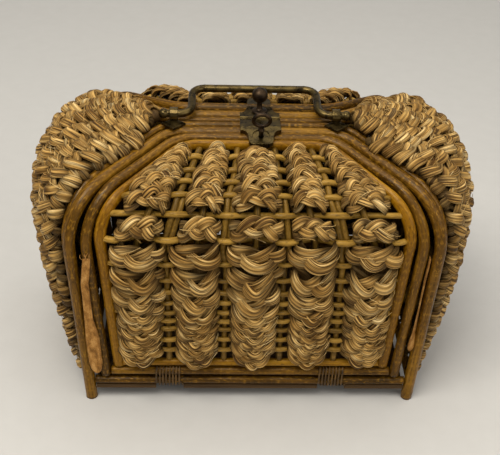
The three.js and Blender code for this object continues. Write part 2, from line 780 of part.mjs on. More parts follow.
// Wire hinges: turns of wire round the front base rail and the door's rail, which turns inside them
const hingeFoot = at(0, legAt(railHeight).y, railHeight);
const hingeHead = at(0, legAt(panelRailHeight).y, panelRailHeight);
function hingeWinding(centre) {
  const rings = [];
  for (let i = 0; i < hingeStations; i += 1) {
    const angle = (i + 0.5) * ((2 * Math.PI) / hingeStations);
    const upper = Math.sin(angle) > 0;
    const middle = upper ? hingeHead : hingeFoot;
    const bore = upper ? panelRailRadius + hingeClearance : railRadius + meshGap;
    const spot = (x, r) => at(
      centre + x,
      -(middle.y + r * Math.cos(angle)),
      middle.z + r * Math.sin(angle),
    );
    const ring = [spot(-hingeLength / 2, bore)];
    for (let turn = 0; turn < hingeTurns; turn += 1) {
      const x = -hingeLength / 2 + (turn + 0.5) * wirePitch;
      ring.push(spot(x - wirePitch / 2, bore + wireRadius));
      ring.push(spot(x, bore + 2 * wireRadius));
    }
    ring.push(spot(hingeLength / 2, bore + wireRadius));
    ring.push(spot(hingeLength / 2, bore));
    rings.push(ring);
  }
  return loopGeometry(rings);
}
// A skin over rings that close on the first again, as round a link
function loopGeometry(rings) {
  const positions = [];
  const index = [];
  const count = rings[0].length;
  rings.forEach((ring) => ring.forEach((p) => positions.push(p.x, p.y, p.z)));
  for (let r = 0; r < rings.length; r += 1) {
    const next = ((r + 1) % rings.length) * count;
    for (let i = 0; i < count; i += 1) {
      const j = (i + 1) % count;
      const a = r * count + i;
      const b = r * count + j;
      index.push(a, b, next + j, a, next + j, next + i);
    }
  }
  const geometry = new THREE.BufferGeometry();
  geometry.setAttribute('position', new THREE.Float32BufferAttribute(positions, 3));
  geometry.setIndex(index);
  return outward(geometry);
}
ends.forEach(([name, end]) => piece(`hinge_winding_${name}`, hingeWinding(hingeOffset * end), darkIron));

// A flat plate: an outline in x and along its slope, with a thickness, laid at a point and turned about X
function plate(outline, thickness, slope, place) {
  const geometry = new THREE.ExtrudeGeometry(outline, {
    depth: thickness,
    bevelEnabled: false,
    curveSegments: 6,
  });
  geometry.rotateX(slope);
  geometry.translate(place.x, place.y, place.z);
  return geometry;
}
const ridgeTop = ridgeHeight + hoopRadius + meshGap;

// The outline of a lock plate that draws in to a narrow tip, pointing along the sign given
function lockOutline(length, direction) {
  const shape = new THREE.Shape();
  const neck = length * lockNeckShare * direction;
  const narrow = length * lockTipShare * direction;
  const tip = length * direction;
  const endHalfWidth = lockTipHalfWidth * lockEndShare;
  shape.moveTo(-lockHalfWidth, 0);
  shape.lineTo(-lockHalfWidth, neck);
  shape.quadraticCurveTo(-lockTipHalfWidth, neck, -lockTipHalfWidth, narrow);
  shape.quadraticCurveTo(-lockTipHalfWidth, tip, -endHalfWidth, tip);
  shape.lineTo(endHalfWidth, tip);
  shape.quadraticCurveTo(lockTipHalfWidth, tip, lockTipHalfWidth, narrow);
  shape.quadraticCurveTo(lockTipHalfWidth, neck, lockHalfWidth, neck);
  shape.lineTo(lockHalfWidth, 0);
  shape.closePath();
  return shape;
}

// Lock case on the door's top canes, with a recess and a keyhole
const lockRise = panelHoopRadius + meshGap;
const lockPlace = at(
  lockOffset,
  -lockTopDepth,
  panelTopHeight + (panelTopDepth - lockTopDepth) * Math.tan(roofSlope) + lockRise / Math.cos(roofSlope),
);
const lockNormal = at(0, -Math.sin(roofSlope), Math.cos(roofSlope));
const lockDown = at(0, -Math.cos(roofSlope), -Math.sin(roofSlope));
const keyhole = lockPlace.clone().addScaledVector(lockDown, keyholeDrop);
function alongNormal(geometry, place, start) {
  geometry.rotateX(Math.PI / 2 + roofSlope);
  const p = place.clone().addScaledVector(lockNormal, start);
  geometry.translate(p.x, p.y, p.z);
  return geometry;
}
const lockCase = solidOf(plate(lockOutline(lockLength, -1), lockThickness, roofSlope, lockPlace));
const recess = new THREE.CylinderGeometry(recessRadius, recessRadius, 2 * recessDepth, 16);
const boreRadius = keyRadius + keyClearance;
const keyBore = new THREE.CylinderGeometry(boreRadius, boreRadius, 2 * keyDepth, 10);
piece('lock_case', geometryOf(
  lockCase
    .subtract(solidOf(alongNormal(recess, keyhole, lockThickness)))
    .subtract(solidOf(alongNormal(keyBore, keyhole, lockThickness))),
), bronze);

// Key: a round shank in the keyhole with a ring for its bow
const shankLength = keyDepth + keyReach - meshGap;
const shank = alongNormal(
  new THREE.CylinderGeometry(keyRadius, keyRadius, shankLength, 8),
  keyhole,
  lockThickness - keyDepth + meshGap + shankLength / 2,
);
const bow = alongNormal(
  new THREE.TorusGeometry(keyBowRadius, keyBowWire, 6, 18),
  keyhole,
  lockThickness + keyReach + keyBowRadius,
);
piece('key', joined([shank, bow]), darkIron);

// Hasp: the flat plate over the ridge that meets the lock case, with its knuckle on the rear edge
const haspLength = lockTopDepth - 2 * meshGap;
const haspShape = new THREE.Shape();
haspShape.moveTo(-lockHalfWidth, 0);
haspShape.lineTo(-lockHalfWidth, -haspLength);
haspShape.lineTo(lockHalfWidth, -haspLength);
haspShape.lineTo(lockHalfWidth, 0);
haspShape.closePath();
const knuckleRadius = haspThickness;
const knuckle = new THREE.CylinderGeometry(knuckleRadius, knuckleRadius, 2 * lockHalfWidth, 8);
knuckle.rotateZ(Math.PI / 2).translate(lockOffset, 0, ridgeTop + knuckleRadius);
piece('hasp', joined([
  plate(haspShape, haspThickness, 0, at(lockOffset, 0, ridgeTop)),
  knuckle,
]), bronze);

// Rear lock plate, flat on the rear ridge cane
const rearPlateStart = knuckleRadius + meshGap;
const rearPlateOutline = lockOutline(rearPlateLength - rearPlateStart, 1);
const rearPlatePlace = at(lockOffset, rearPlateStart, ridgeTop);
piece('lock_rear_plate', plate(rearPlateOutline, plateThickness, 0, rearPlatePlace), bronze);

// Turning knob on the rear plate: a low boss, a neck and a ball
function knobProfile() {
  const points = [
    [0, 0],
    [knobBossRadius, 0],
    [knobBossRadius * knobBossTopShare, knobBossHeight],
    [knobNeckRadius, knobBossHeight * knobNeckStartShare],
  ];
  const start = Math.asin(knobNeckRadius / knobRadius);
  const middle = knobNeckHeight + knobRadius * Math.cos(start);
  for (let i = 0; i <= knobSteps; i += 1) {
    const angle = start + (i / knobSteps) * (Math.PI - start);
    points.push([knobRadius * Math.sin(angle), middle - knobRadius * Math.cos(angle)]);
  }
  points[points.length - 1][0] = 0;
  return points.map(([r, z]) => new THREE.Vector2(r, z));
}
const knob = new THREE.LatheGeometry(knobProfile(), 12);
knob.rotateX(Math.PI / 2);
knob.translate(lockOffset, knobDepth, ridgeTop + plateThickness + meshGap);
piece('lock_knob', knob, darkIron);

// Handle: a bail whose feet turn in two ears, with a ball on each end, laid back at rest
const pivot = at(0, -handlePivotDepth, handlePivotHeight);
const restTurn = THREE.MathUtils.degToRad(handleRestAngle);
const reach = at(0, handleReach * Math.cos(restTurn), handleReach * Math.sin(restTurn));
const footEnd = handleHalfSpan - finialRadius;
const bailCorners = [
  at(-footEnd, 0, 0), at(-handleHalfGrip, 0, 0), at(-handleHalfGrip, 0, 0).add(reach),
  at(handleHalfGrip, 0, 0).add(reach), at(handleHalfGrip, 0, 0), at(footEnd, 0, 0),
].map((p) => p.add(pivot));
const bailBends = Array(bailCorners.length - 2).fill(handleBendRadius);
const ball = (x) => new THREE.SphereGeometry(finialRadius, 8, 6).translate(x, pivot.y, pivot.z);
piece('handle_bail', joined([
  caneGeometry(bentPath(bailCorners, bailBends), handleRodRadius, caneSides),
  ball(-footEnd),
  ball(footEnd),
]), bronze);

// Ears: a diamond plate on the front ridge cane with an upright barrel round the handle's foot
ends.forEach(([name, end]) => {
  const x = earOffset * end;
  const y = -ridgeHalfDepth + earForward;
  const diamond = new THREE.Shape();
  diamond.moveTo(-earWidth / 2, 0);
  diamond.lineTo(0, -earDepth);
  diamond.lineTo(earWidth / 2, 0);
  diamond.lineTo(0, earDepth * earRearShare);
  diamond.closePath();
  const base = plate(diamond, earThickness, 0, at(x, y, ridgeTop));
  const post = new THREE.BoxGeometry(earBarrelLength, 2 * earPostHalf, pivot.z - ridgeTop);
  post.translate(x, pivot.y, (pivot.z + ridgeTop) / 2);
  const barrel = new THREE.CylinderGeometry(earBarrelRadius, earBarrelRadius, earBarrelLength, 12);
  barrel.rotateZ(Math.PI / 2).translate(x, pivot.y, pivot.z);
  const bore = handleRodRadius + meshGap;
  const hole = new THREE.CylinderGeometry(bore, bore, 2 * earBarrelLength, 12);
  hole.rotateZ(Math.PI / 2).translate(x, pivot.y, pivot.z);
  const whole = [base, post, barrel].map(solidOf).reduce((sum, part) => sum.add(part));
  const ear = whole.subtract(solidOf(hole));
  piece(`handle_ear_${name}`, geometryOf(ear), bronze);
});

// Left strap: fixed on the front of the door hoop, it hangs before the gap beside that hoop
const strapTopHeight = hoopPath(foot, shoulder, ridge, 1)[1].z - strapTopGap;
function leftStrapRow([up, widthShare, over]) {
  const height = THREE.MathUtils.lerp(strapLeftBottom, strapTopHeight, up);
  const p = legAt(height);
  const way = (height - panelFoot.z) / (panelShoulder.z - panelFoot.z);
  const gap = THREE.MathUtils.lerp(panelFootGap, panelShoulderGap, way);
  const x = -p.x + hoopRadius + gap / 2 + over * (gap / 2 + panelHoopRadius);
  const back = -p.y - panelHoopRadius - meshGap;
  const half = (strapWidth / 2) * widthShare;
  const front = back - strapThickness;
  return [[x - half, back], [x + half, back], [x + half, front], [x - half, front]]
    .map(([across, y]) => at(across, y, height));
}
piece('strap_left', loftGeometry(strapRowShares.map(leftStrapRow)), leather);

// Right strap: it hangs edge on in the gap, from the body hoop
function rightStrapRow(height, widthShare) {
  const p = legAt(height);
  const outer = p.x - hoopRadius - meshGap;
  const inner = outer - strapThickness;
  const half = (strapWidth / 2) * widthShare;
  return [[outer, -half], [outer, half], [inner, half], [inner, -half]]
    .map(([x, dy]) => at(x, -p.y + dy, height));
}
const strapTip = strapWidth * strapTipShare;
piece('strap_right', loftGeometry([
  rightStrapRow(strapRightBottom, strapTipWidthShare),
  rightStrapRow(strapRightBottom + strapTip, 1),
  rightStrapRow(strapTopHeight - strapTip, 1),
  rightStrapRow(strapTopHeight, strapTopWidthShare),
]), leather);

export default basket;
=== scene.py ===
"""Looks of the straw sewing basket: smooth canes, braided straw, wire, metal and leather."""

import math

import bpy
import numpy as np
from mathutils import Matrix, Vector


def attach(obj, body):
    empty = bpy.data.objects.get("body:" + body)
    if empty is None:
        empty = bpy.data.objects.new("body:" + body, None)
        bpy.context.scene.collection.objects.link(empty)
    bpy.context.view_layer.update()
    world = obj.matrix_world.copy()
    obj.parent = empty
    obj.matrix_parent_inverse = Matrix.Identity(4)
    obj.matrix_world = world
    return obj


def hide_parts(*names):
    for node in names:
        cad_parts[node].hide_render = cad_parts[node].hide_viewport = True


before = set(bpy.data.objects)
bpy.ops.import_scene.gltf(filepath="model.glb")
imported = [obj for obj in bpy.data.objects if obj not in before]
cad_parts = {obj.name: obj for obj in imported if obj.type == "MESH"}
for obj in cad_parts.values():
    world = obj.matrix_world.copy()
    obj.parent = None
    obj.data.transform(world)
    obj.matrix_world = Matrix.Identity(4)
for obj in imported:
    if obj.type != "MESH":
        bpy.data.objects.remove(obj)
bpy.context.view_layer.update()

MM = 0.001
draw = np.random.default_rng(11).uniform

# Sizes in millimetres, the same as the part's own. The first three are places on a body hoop
FOOT = np.array([118.5, 78.0, 0.0])
SHOULDER = np.array([127.0, 84.5, 171.5])
RIDGE = np.array([61.0, 11.5, 188.5])
HOOP_RADIUS = 4.25
SHOULDER_BEND = 40.0
RIDGE_BEND = 26.0
MESH_GAP = 0.35
EDGE_RADIUS = 2.7
EDGE_FOOT = 24.0
EDGE_SHOULDER = np.array([3.2, -6.9, 0.0])
EDGE_RIDGE_OUT = 4.5
EDGE_RIDGE_DEPTH = 3.6
RAIL_RADIUS = 3.1
RAIL_HEIGHT = 17.0
PANEL_RADIUS = 3.75
PANEL_FOOT_GAP = 5.2
PANEL_SHOULDER_GAP = 3.0
PANEL_TOP_GAP = 0.6
PANEL_RIDGE_INSET = 7.0
PANEL_RAIL_RADIUS = 3.4
PANEL_RAIL_GAP = 3.1
PANEL_TOP = 188.8
PANEL_BEND = 36.0
INNER_RADIUS = 2.9
INNER_SIDE_GAP = 3.6
INNER_RAIL_GAP = 2.1
INNER_RIDGE_INSET = 4.0
INNER_BEND = 30.0
STAKE_RADIUS = 2.25
WEAVER_RADIUS = 1.6
COLUMN_SPACING = 40.0
COLUMN_TOP_SPACING = 25.5
STRAW_PROUD = 9.5
STRAW_TOP_PROUD = 7.0
GUSSET_BULGE = 24.0
GUSSET_CROWN = 7.0
GUSSET_PROUD = 9.0
GUSSET_EDGE = 0.075
GUSSET_FULL = 0.42
GUSSET_TAPER = 0.72
GUSSET_TOP_BULGE = 0.28
WIRE_RADIUS = 0.6
WIRE_PITCH = 2.4
HINGE_TURNS = 8
HINGE_OFFSET = 60.0
HANDLE_ROD = 2.8
HANDLE_GRIP = 45.0
HANDLE_REACH = 33.0
HANDLE_REST = 7.0
HANDLE_BEND = 9.0
HANDLE_SPAN = 68.2
HANDLE_PIVOT = np.array([0.0, -3.0, 198.6])
FINIAL_RADIUS = 3.6
LOCK_OFFSET = 3.5
LOCK_TOP_DEPTH = 16.6
LOCK_THICKNESS = 3.6
KEYHOLE_DROP = 9.5
KNOB_DEPTH = 10.0

# Rows up a panel, as shares of its length. They follow a closer look at the photo than the solids do
WEAVER_ROWS = [0.067, 0.117, 0.17, 0.216, 0.258, 0.302, 0.355, 0.418, 0.492, 0.76, 0.815, 0.87, 0.935]
SHOULDER_ROWS = [0.6, 0.695]
LOWER_PLAITS = [0, 0.035, 0.075, 0.115, 0.155, 0.2, 0.25, 0.31, 0.385, 0.475, 0.575]
SHOULDER_PLAITS = [0.62, 0.68]
UPPER_PLAITS = [0.73, 0.773, 0.816, 0.859, 0.902, 0.944, 0.984]

# Rows up a gusset, as shares of its height; the lists of three are for the middle, next and outer columns
GUSSET_WEAVERS = [0.08, 0.27, 0.46, 0.66]
GUSSET_TOPS = [0.985, 0.96, 0.9]
GUSSET_STAKE_TOPS = [0.94, 0.92, 0.87]
PLAIT_COUNTS = [25, 24, 21]

# The kinds of plaits on a column of a panel. halves: half widths of the first and last row, for the middle,
# next and outer columns; rear_more is added at the rear. foot (door, rear) and head: how far the core stays
# short of the rows. thick: share of the width
PLAITS = {
    "lower": dict(
        rows=LOWER_PLAITS, halves=[(14.6, 16.6), (13.2, 14.6), (14.2, 15.6)], rear_more=3.0,
        thick=0.46, tilt=0.55, period=6.6, sway=0.55, foot=(5.0, 0.6), head=9.0,
    ),
    "shoulder": dict(
        rows=SHOULDER_PLAITS, halves=[(16.5, 16.5), (12.5, 12.5), (11.0, 11.0)], rear_more=1.5,
        thick=0.48, tilt=0.0, period=5.4, sway=0.62, foot=(2.0, 2.0), head=2.0,
        width=5.9, lift=0.0, droop=-3.5,
    ),
    "upper": dict(
        rows=UPPER_PLAITS, halves=[(14.2, 10.6), (10.8, 7.2), (11.2, 8.6)], rear_more=1.5,
        thick=0.46, tilt=-0.42, period=5.8, sway=0.6, foot=(1.0, 1.0), head=7.0,
        width=5.0, lift=-2.5, droop=-5.0,
    ),
}

# How finely a plait is made: sides and lobes of a strand, its step, and how far round the column it turns
DOOR_DETAIL = dict(sides=28, step=1.15, turn=2.05, lobes=7)
REAR_DETAIL = dict(sides=12, step=1.8, turn=2.05, lobes=3)
GUSSET_DETAIL = dict(sides=15, step=1.35, turn=1.85, lobes=5)


# Curves
def bent_path(corners, radii, steps=14):
    """Points of a broken line whose inner corners are arcs of the given radii."""
    corners = [np.asarray(c, float) for c in corners]
    path = [corners[0]]
    for i in range(1, len(corners) - 1):
        c = corners[i]
        back = corners[i - 1] - c
        ahead = corners[i + 1] - c
        back /= np.linalg.norm(back)
        ahead /= np.linalg.norm(ahead)
        half = math.acos(np.clip(back @ ahead, -1, 1)) / 2
        r = radii[i - 1]
        cut = r / math.tan(half)
        middle = c + (back + ahead) / np.linalg.norm(back + ahead) * (r / math.sin(half))
        a = c + back * cut - middle
        b = c + ahead * cut - middle
        sweep = math.acos(np.clip(a @ b / (r * r), -1, 1))
        for k in range(steps + 1):
            t = k / steps
            path.append(middle + (math.sin((1 - t) * sweep) * a + math.sin(t * sweep) * b) / math.sin(sweep))
    path.append(corners[-1])
    return np.array(path)


def lengths_of(points):
    """Running length along a row of points."""
    steps = np.linalg.norm(np.diff(points, axis=0), axis=1)
    return np.concatenate([[0], np.cumsum(steps)])


def even(points, spacing):
    """The same line with its points a given distance apart."""
    run = lengths_of(points)
    count = max(int(round(run[-1] / spacing)), 2)
    want = np.linspace(0, run[-1], count + 1)
    return np.stack([np.interp(want, run, points[:, k]) for k in range(3)], axis=1)


def frames_of(points):
    """Tangents and two cross directions along a line, carried on without twist."""
    tangent = np.gradient(points, axis=0)
    tangent /= np.linalg.norm(tangent, axis=1)[:, None]
    near_upright = abs(tangent[0][2]) >= 0.9
    start = np.array([0, 1.0, 0]) if near_upright else np.array([0, 0, 1.0])
    first = []
    for t in tangent:
        start = start - t * (start @ t)
        start = start / np.linalg.norm(start)
        first.append(start)
    first = np.array(first)
    return tangent, first, np.cross(tangent, first)


# Meshes
def show(name, data):
    """Puts an object of a mesh, camera or light into the scene."""
    obj = bpy.data.objects.new(name, data)
    bpy.context.scene.collection.objects.link(obj)
    return obj


class Shape:
    """Collects the tubes and skins of one piece, in millimetres. Points have a tone from dark to light, and a
    depth that is 0 where they are sunk in; the cane and straw materials paint shade where the depth is low,
    and the leather darkens its edges and threads by it."""

    def __init__(self):
        self.verts, self.faces, self.uv, self.tone, self.depth = [], [], [], [], []
        self.count = 0

    def grid(self, points, uv, tone, depth):
        """Adds a skin of closed rings of points, one ring a row, with a cap at each end."""
        rows, cols = points.shape[:2]
        base = self.count
        self.verts.append(points.reshape(-1, 3))
        self.uv.append(uv.reshape(-1, 2))
        self.tone.append(np.broadcast_to(tone, (rows, cols)).reshape(-1))
        self.depth.append(np.broadcast_to(depth, (rows, cols)).reshape(-1))
        i, j = np.meshgrid(np.arange(rows - 1), np.arange(cols), indexing="ij")
        k = (j + 1) % cols
        quad = np.stack([i * cols + j, i * cols + k, (i + 1) * cols + k, (i + 1) * cols + j], axis=-1)
        self.faces.extend((quad.reshape(-1, 4) + base).tolist())
        self.faces.append([base + c for c in range(cols)][::-1])
        self.faces.append([base + (rows - 1) * cols + c for c in range(cols)])
        self.count += rows * cols

    def tube(self, points, radius, sides, tone=0.5, depth=1.0, flat=None, start=None):
        """A round tube along points, or an elliptic one: flat is the normals it faces and how thin it is. The
        grain starts at a random place unless start says where."""
        start = draw(0, 900) if start is None else start
        radius = np.broadcast_to(radius, (len(points),) if np.ndim(radius) < 2 else np.shape(radius))
        tangent, first, second = frames_of(points)
        squash = 1.0
        if flat is not None:
            normal, squash = flat
            first = normal - tangent * np.sum(normal * tangent, axis=1)[:, None]
            first /= np.linalg.norm(first, axis=1)[:, None]
            second = np.cross(tangent, first)
        angle = np.arange(sides) / sides * 2 * math.pi
        r = radius[:, None, None] if radius.ndim == 1 else radius[:, :, None]
        ring = (
            points[:, None, :]
            + r * squash * np.cos(angle)[None, :, None] * first[:, None, :]
            + r * np.sin(angle)[None, :, None] * second[:, None, :]
        )
        u = np.broadcast_to(np.abs(angle - math.pi)[None, :] * float(np.mean(radius)), ring.shape[:2])
        v = np.broadcast_to(lengths_of(points)[:, None] + start, ring.shape[:2])
        self.grid(ring, np.stack([u, v], axis=-1), tone, depth)

    def build(self, name, material, node=None, body="basket_body"):
        """Makes the object, in place of a node of the frame."""
        mesh = bpy.data.meshes.new(name)
        mesh.from_pydata((np.concatenate(self.verts) * MM).tolist(), [], self.faces)
        layer = mesh.uv_layers.new(name="UVMap")
        loops = np.zeros(len(mesh.loops), np.int32)
        mesh.loops.foreach_get("vertex_index", loops)
        layer.data.foreach_set("uv", np.concatenate(self.uv).astype(np.float32)[loops].ravel())
        for key, values in (("tone", self.tone), ("depth", self.depth)):
            attribute = mesh.attributes.new(key, "FLOAT", "POINT")
            attribute.data.foreach_set("value", np.concatenate(values).astype(np.float32))
        mesh.polygons.foreach_set("use_smooth", np.ones(len(mesh.polygons), bool))
        mesh.validate()
        mesh.materials.append(material)
        obj = show(name, mesh)
        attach(obj, body)
        if node:
            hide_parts(node)
        return obj


# Materials
def linear(colour, share=1.0):
    """A share of a colour in sRGB bytes, as linear light."""
    c = np.asarray(colour, float) * share / 255
    return (*np.where(c <= 0.04045, c / 12.92, ((c + 0.055) / 1.055) ** 2.4), 1)


class Nodes:
    """A short way to write a material's nodes."""

    def __init__(self, name):
        self.material = bpy.data.materials.new(name)
        self.material.use_nodes = True
        self.tree = self.material.node_tree
        self.tree.nodes.clear()
        self.shader = self.tree.nodes.new("ShaderNodeBsdfPrincipled")
        self.feed(self.tree.nodes.new("ShaderNodeOutputMaterial"), {"Surface": self.shader.outputs["BSDF"]})

    def feed(self, node, inputs):
        """Links inputs of a node to outputs, or sets them to constants."""
        for key, value in inputs.items():
            if hasattr(value, "is_output"):
                self.tree.links.new(value, node.inputs[key])
            elif value is not None:
                node.inputs[key].default_value = value

    def add(self, kind, output, inputs, **properties):
        """A new node with its properties and inputs set; gives one of its outputs."""
        node = self.tree.nodes.new(kind)
        for key, value in properties.items():
            setattr(node, key, value)
        self.feed(node, inputs)
        return node.outputs[output]

    def uv(self, across, along, shift=(0, 0, 0)):
        """The piece's own UV, scaled: cells of a noise in a millimetre."""
        coords = self.add("ShaderNodeUVMap", "UV", {}, uv_map="UVMap")
        return self.add("ShaderNodeMapping", "Vector",
                        {"Vector": coords, "Scale": (across, along, 1), "Location": shift})

    def place(self, *scale):
        """The object's own coordinates, scaled: cells of a noise in a metre."""
        coords = self.add("ShaderNodeTexCoord", "Object", {})
        return self.add("ShaderNodeMapping", "Vector", {"Vector": coords, "Scale": scale})

    def noise(self, vector, detail=3.0, rough=0.55):
        """Cloudy noise from 0 to 1 over the given places."""
        return self.add("ShaderNodeTexNoise", "Fac",
                        {"Vector": vector, "Scale": 1.0, "Detail": detail, "Roughness": rough})

    def ramp(self, factor, stops):
        """Colours in sRGB bytes at places along 0 to 1."""
        node = self.tree.nodes.new("ShaderNodeValToRGB")
        self.feed(node, {"Fac": factor})
        elements = node.color_ramp.elements
        while len(elements) < len(stops):
            elements.new(0.5)
        for element, (place, colour) in zip(elements, stops):
            element.position = place
            element.color = linear(colour)
        return node.outputs["Color"]

    def levels(self, factor, low, high, to_low, to_high):
        """Maps a value range to another, clamped."""
        return self.add("ShaderNodeMapRange", "Result", {
            "Value": factor, "From Min": low, "From Max": high, "To Min": to_low, "To Max": to_high})

    def attribute(self, name):
        """The number that the mesh carries at its points under this name."""
        return self.add("ShaderNodeAttribute", "Fac", {}, attribute_name=name)

    def math(self, operation, a, b):
        """One sum, product or other operation on two values."""
        return self.add("ShaderNodeMath", 0, {0: a, 1: b}, operation=operation)

    def weighed(self, *parts):
        """The total of pairs of a value and its weight."""
        total = None
        for value, weight in parts:
            share = self.math("MULTIPLY", value, weight)
            total = share if total is None else self.math("ADD", total, share)
        return total

    def own_tone(self):
        """The tone of the strand or cane, from -0.5 to 0.5."""
        return self.math("SUBTRACT", self.attribute("tone"), 0.5)

    def mix(self, factor, a, b):
        """Colour a where the factor is 0, colour b where it is 1."""
        return self.add("ShaderNodeMix", "Result", {"Factor": factor, "A": a, "B": b}, data_type="RGBA")

    def bump(self, height, strength, distance, under=None):
        """A relief that only the light sees, its distance in metres."""
        return self.add("ShaderNodeBump", "Normal", {
            "Height": height, "Strength": strength, "Distance": distance, "Normal": under})

    def finish(self, colour, rough, normal=None, metal=0.0, coat=0.0):
        """Feeds the shader. What isn't metal has a weak highlight with a warm tint."""
        self.feed(self.shader, {"Base Color": colour, "Roughness": rough, "Metallic": metal, "Normal": normal,
                                "Coat Weight": coat, "Coat Roughness": 0.25})
        if metal == 0:
            self.feed(self.shader, {"Specular IOR Level": 0.22, "Specular Tint": (1.0, 0.8, 0.5, 1.0),
                                    "Coat Tint": (1.0, 0.9, 0.7, 1.0)})
        return self.material


def cane_material(name, dark, middle, light, wear, coat):
    """Varnished cane: streaks along its length, darker grime, worn lighter spots and fine grain, with painted
    shade where its depth is low.
    """
    n = Nodes(name)
    streak = n.noise(n.uv(0.5, 0.02), detail=4.0, rough=0.6)
    patch = n.noise(n.uv(0.05, 0.016, (3, 7, 0)), rough=0.6)
    fleck = n.noise(n.uv(0.75, 0.28, (9, 2, 0)), detail=2.0, rough=0.5)
    tone = n.weighed((streak, 0.55), (patch, 0.45), (n.own_tone(), 0.35))
    colour = n.ramp(tone, [(0.3, dark), (0.5, middle), (0.72, light)])
    worn = n.levels(fleck, 0.54, 0.68, 0.0, wear)
    colour = n.mix(worn, colour, linear(light))
    grime = n.levels(fleck, 0.42, 0.3, 0.0, 0.55)
    colour = n.mix(grime, colour, linear(dark, 0.5))
    # Painted shade: darker where the depth is low, on canes that lie behind others.
    sunk = n.levels(n.attribute("depth"), 0.0, 1.0, 0.5, 0.0)
    colour = n.mix(sunk, colour, linear(dark, 0.42))
    grain = n.noise(n.uv(2.2, 0.07), detail=2.0)
    normal = n.bump(grain, 0.3, 0.0005, n.bump(fleck, 0.25, 0.0006))
    return n.finish(colour, n.levels(streak, 0.3, 0.7, 0.28, 0.5), normal, coat=coat)


def straw_material():
    """Plaited straw: fibres along each strand, a tone for each strand, and painted shade where it sinks in.
    """
    n = Nodes("straw_plait")
    fibre = n.noise(n.uv(0.9, 0.025), rough=0.6)
    fine = n.noise(n.uv(1.25, 0.035, (5, 3, 0)), detail=1.0, rough=0.5)
    hair = n.noise(n.uv(2.6, 0.05, (1, 8, 0)), detail=1.0, rough=0.5)
    patch = n.noise(n.place(55, 55, 55), detail=2.0, rough=0.5)
    tone = n.weighed((fibre, 0.62), (patch, 0.3), (n.own_tone(), 0.24))
    stops = [(0.32, (102, 71, 27)), (0.42, (174, 132, 67)), (0.53, (214, 173, 102)), (0.66, (242, 213, 152))]
    colour = n.ramp(tone, stops)
    colour = n.mix(n.levels(hair, 0.46, 0.38, 0.0, 0.6), colour, linear((92, 60, 20)))
    colour = n.mix(n.levels(fine, 0.47, 0.4, 0.0, 0.9), colour, linear((60, 34, 10)))
    # Painted shade: nearly black where the depth is low, in the creases between strands and on the core.
    sunk = n.levels(n.attribute("depth"), 0.2, 0.95, 0.9, 0.0)
    colour = n.mix(sunk, colour, linear((34, 21, 5)))
    normal = n.bump(n.weighed((fibre, 0.6), (fine, 0.4)), 0.75, 0.0011)
    return n.finish(colour, n.levels(fibre, 0.3, 0.7, 0.75, 0.5), normal)


def metal_material(name, dark, light, rough, metal=0.9):
    """Old bronze or iron: patina in patches, rubbed edges and fine pitting."""
    n = Nodes(name)
    patch = n.noise(n.place(170, 170, 170), detail=4.0, rough=0.6)
    pit = n.noise(n.place(900, 900, 900), detail=2.0, rough=0.5)
    bevel = n.add("ShaderNodeBevel", "Normal", {"Radius": 0.0005}, samples=6)
    colour = n.ramp(patch, [(0.32, dark), (0.62, light)])
    colour = n.mix(n.levels(pit, 0.62, 0.75, 0.0, 0.4), colour, linear(dark, 0.45))
    normal = n.bump(pit, 0.2, 0.0003, bevel)
    return n.finish(colour, n.levels(patch, 0.3, 0.7, rough, rough + 0.2), normal, metal)


def leather_material():
    """Tan leather strip: suede-like grain, darker scuffs and edges."""
    n = Nodes("strap_leather")
    grain = n.noise(n.uv(1.6, 1.6), detail=4.0, rough=0.6)
    scuff = n.noise(n.uv(0.22, 0.1, (1, 4, 0)), rough=0.6)
    tone = n.weighed((scuff, 0.7), (grain, 0.3))
    colour = n.ramp(tone, [(0.36, (92, 58, 20)), (0.5, (152, 106, 50)), (0.64, (192, 146, 84))])
    edge = n.levels(n.attribute("depth"), 0.0, 1.0, 0.6, 0.0)
    colour = n.mix(edge, colour, linear((88, 54, 22)))
    return n.finish(colour, 0.62, n.bump(grain, 0.5, 0.0006))


def board_material():
    """Plain brown board: long grain across the basket."""
    n = Nodes("bottom_wood")
    grain = n.noise(n.place(9, 260, 260), detail=5.0, rough=0.6)
    colour = n.ramp(grain, [(0.35, (48, 35, 22)), (0.65, (86, 64, 40))])
    return n.finish(colour, 0.7, n.bump(grain, 0.3, 0.0008))


DARK = cane_material("cane_dark", (34, 20, 2), (86, 56, 6), (140, 100, 24), 0.75, 0.1)
AMBER = cane_material("cane_amber", (74, 44, 1), (120, 80, 4), (164, 120, 24), 0.5, 0.1)
THIN = cane_material("cane_thin", (60, 44, 15), (116, 86, 30), (162, 125, 52), 0.4, 0.05)
STRAW = straw_material()
BRONZE = metal_material("bronze_patina", (36, 28, 13), (94, 78, 42), 0.2)
IRON = metal_material("iron_brown", (30, 22, 15), (70, 54, 36), 0.34)
WIRE = metal_material("wire_dark", (40, 26, 8), (104, 74, 28), 0.45, 0.3)
LEATHER = leather_material()
BOARD = board_material()


# Canes of the frame
CANE_STEP = 2.2
CANE_JOINTS = 70.0
EDGE_OUT = 0.34
EDGE_FORWARD = 0.94
INNER_WIDE = 4.1
# The canes of the rear are flatter and wider than their solids, which closes gaps that the photo doesn't show
REAR_HOOP_WIDE = 1.25
REAR_RAIL_WIDE = 1.45
# For the rear panel: shift of the outer and inner feet, and how much wider the outer and inner canes are
REAR_CANES = (1.7, 1.2, 1.7, 1.3)


def leg_at(height):
    """The middle of a leg of the body hoop at a height."""
    return FOOT + (SHOULDER - FOOT) * (height / SHOULDER[2])


def hoop_path(foot, shoulder, ridge, side, bend=SHOULDER_BEND):
    """A hoop from left foot to right foot; side is -1 in front and 1 at the rear."""
    half = [foot, shoulder, ridge]
    corners = [np.array([-p[0], p[1] * side, p[2]]) for p in half]
    corners += [np.array([p[0], p[1] * side, p[2]]) for p in half[::-1]]
    return bent_path(corners, [bend, RIDGE_BEND, RIDGE_BEND, bend])


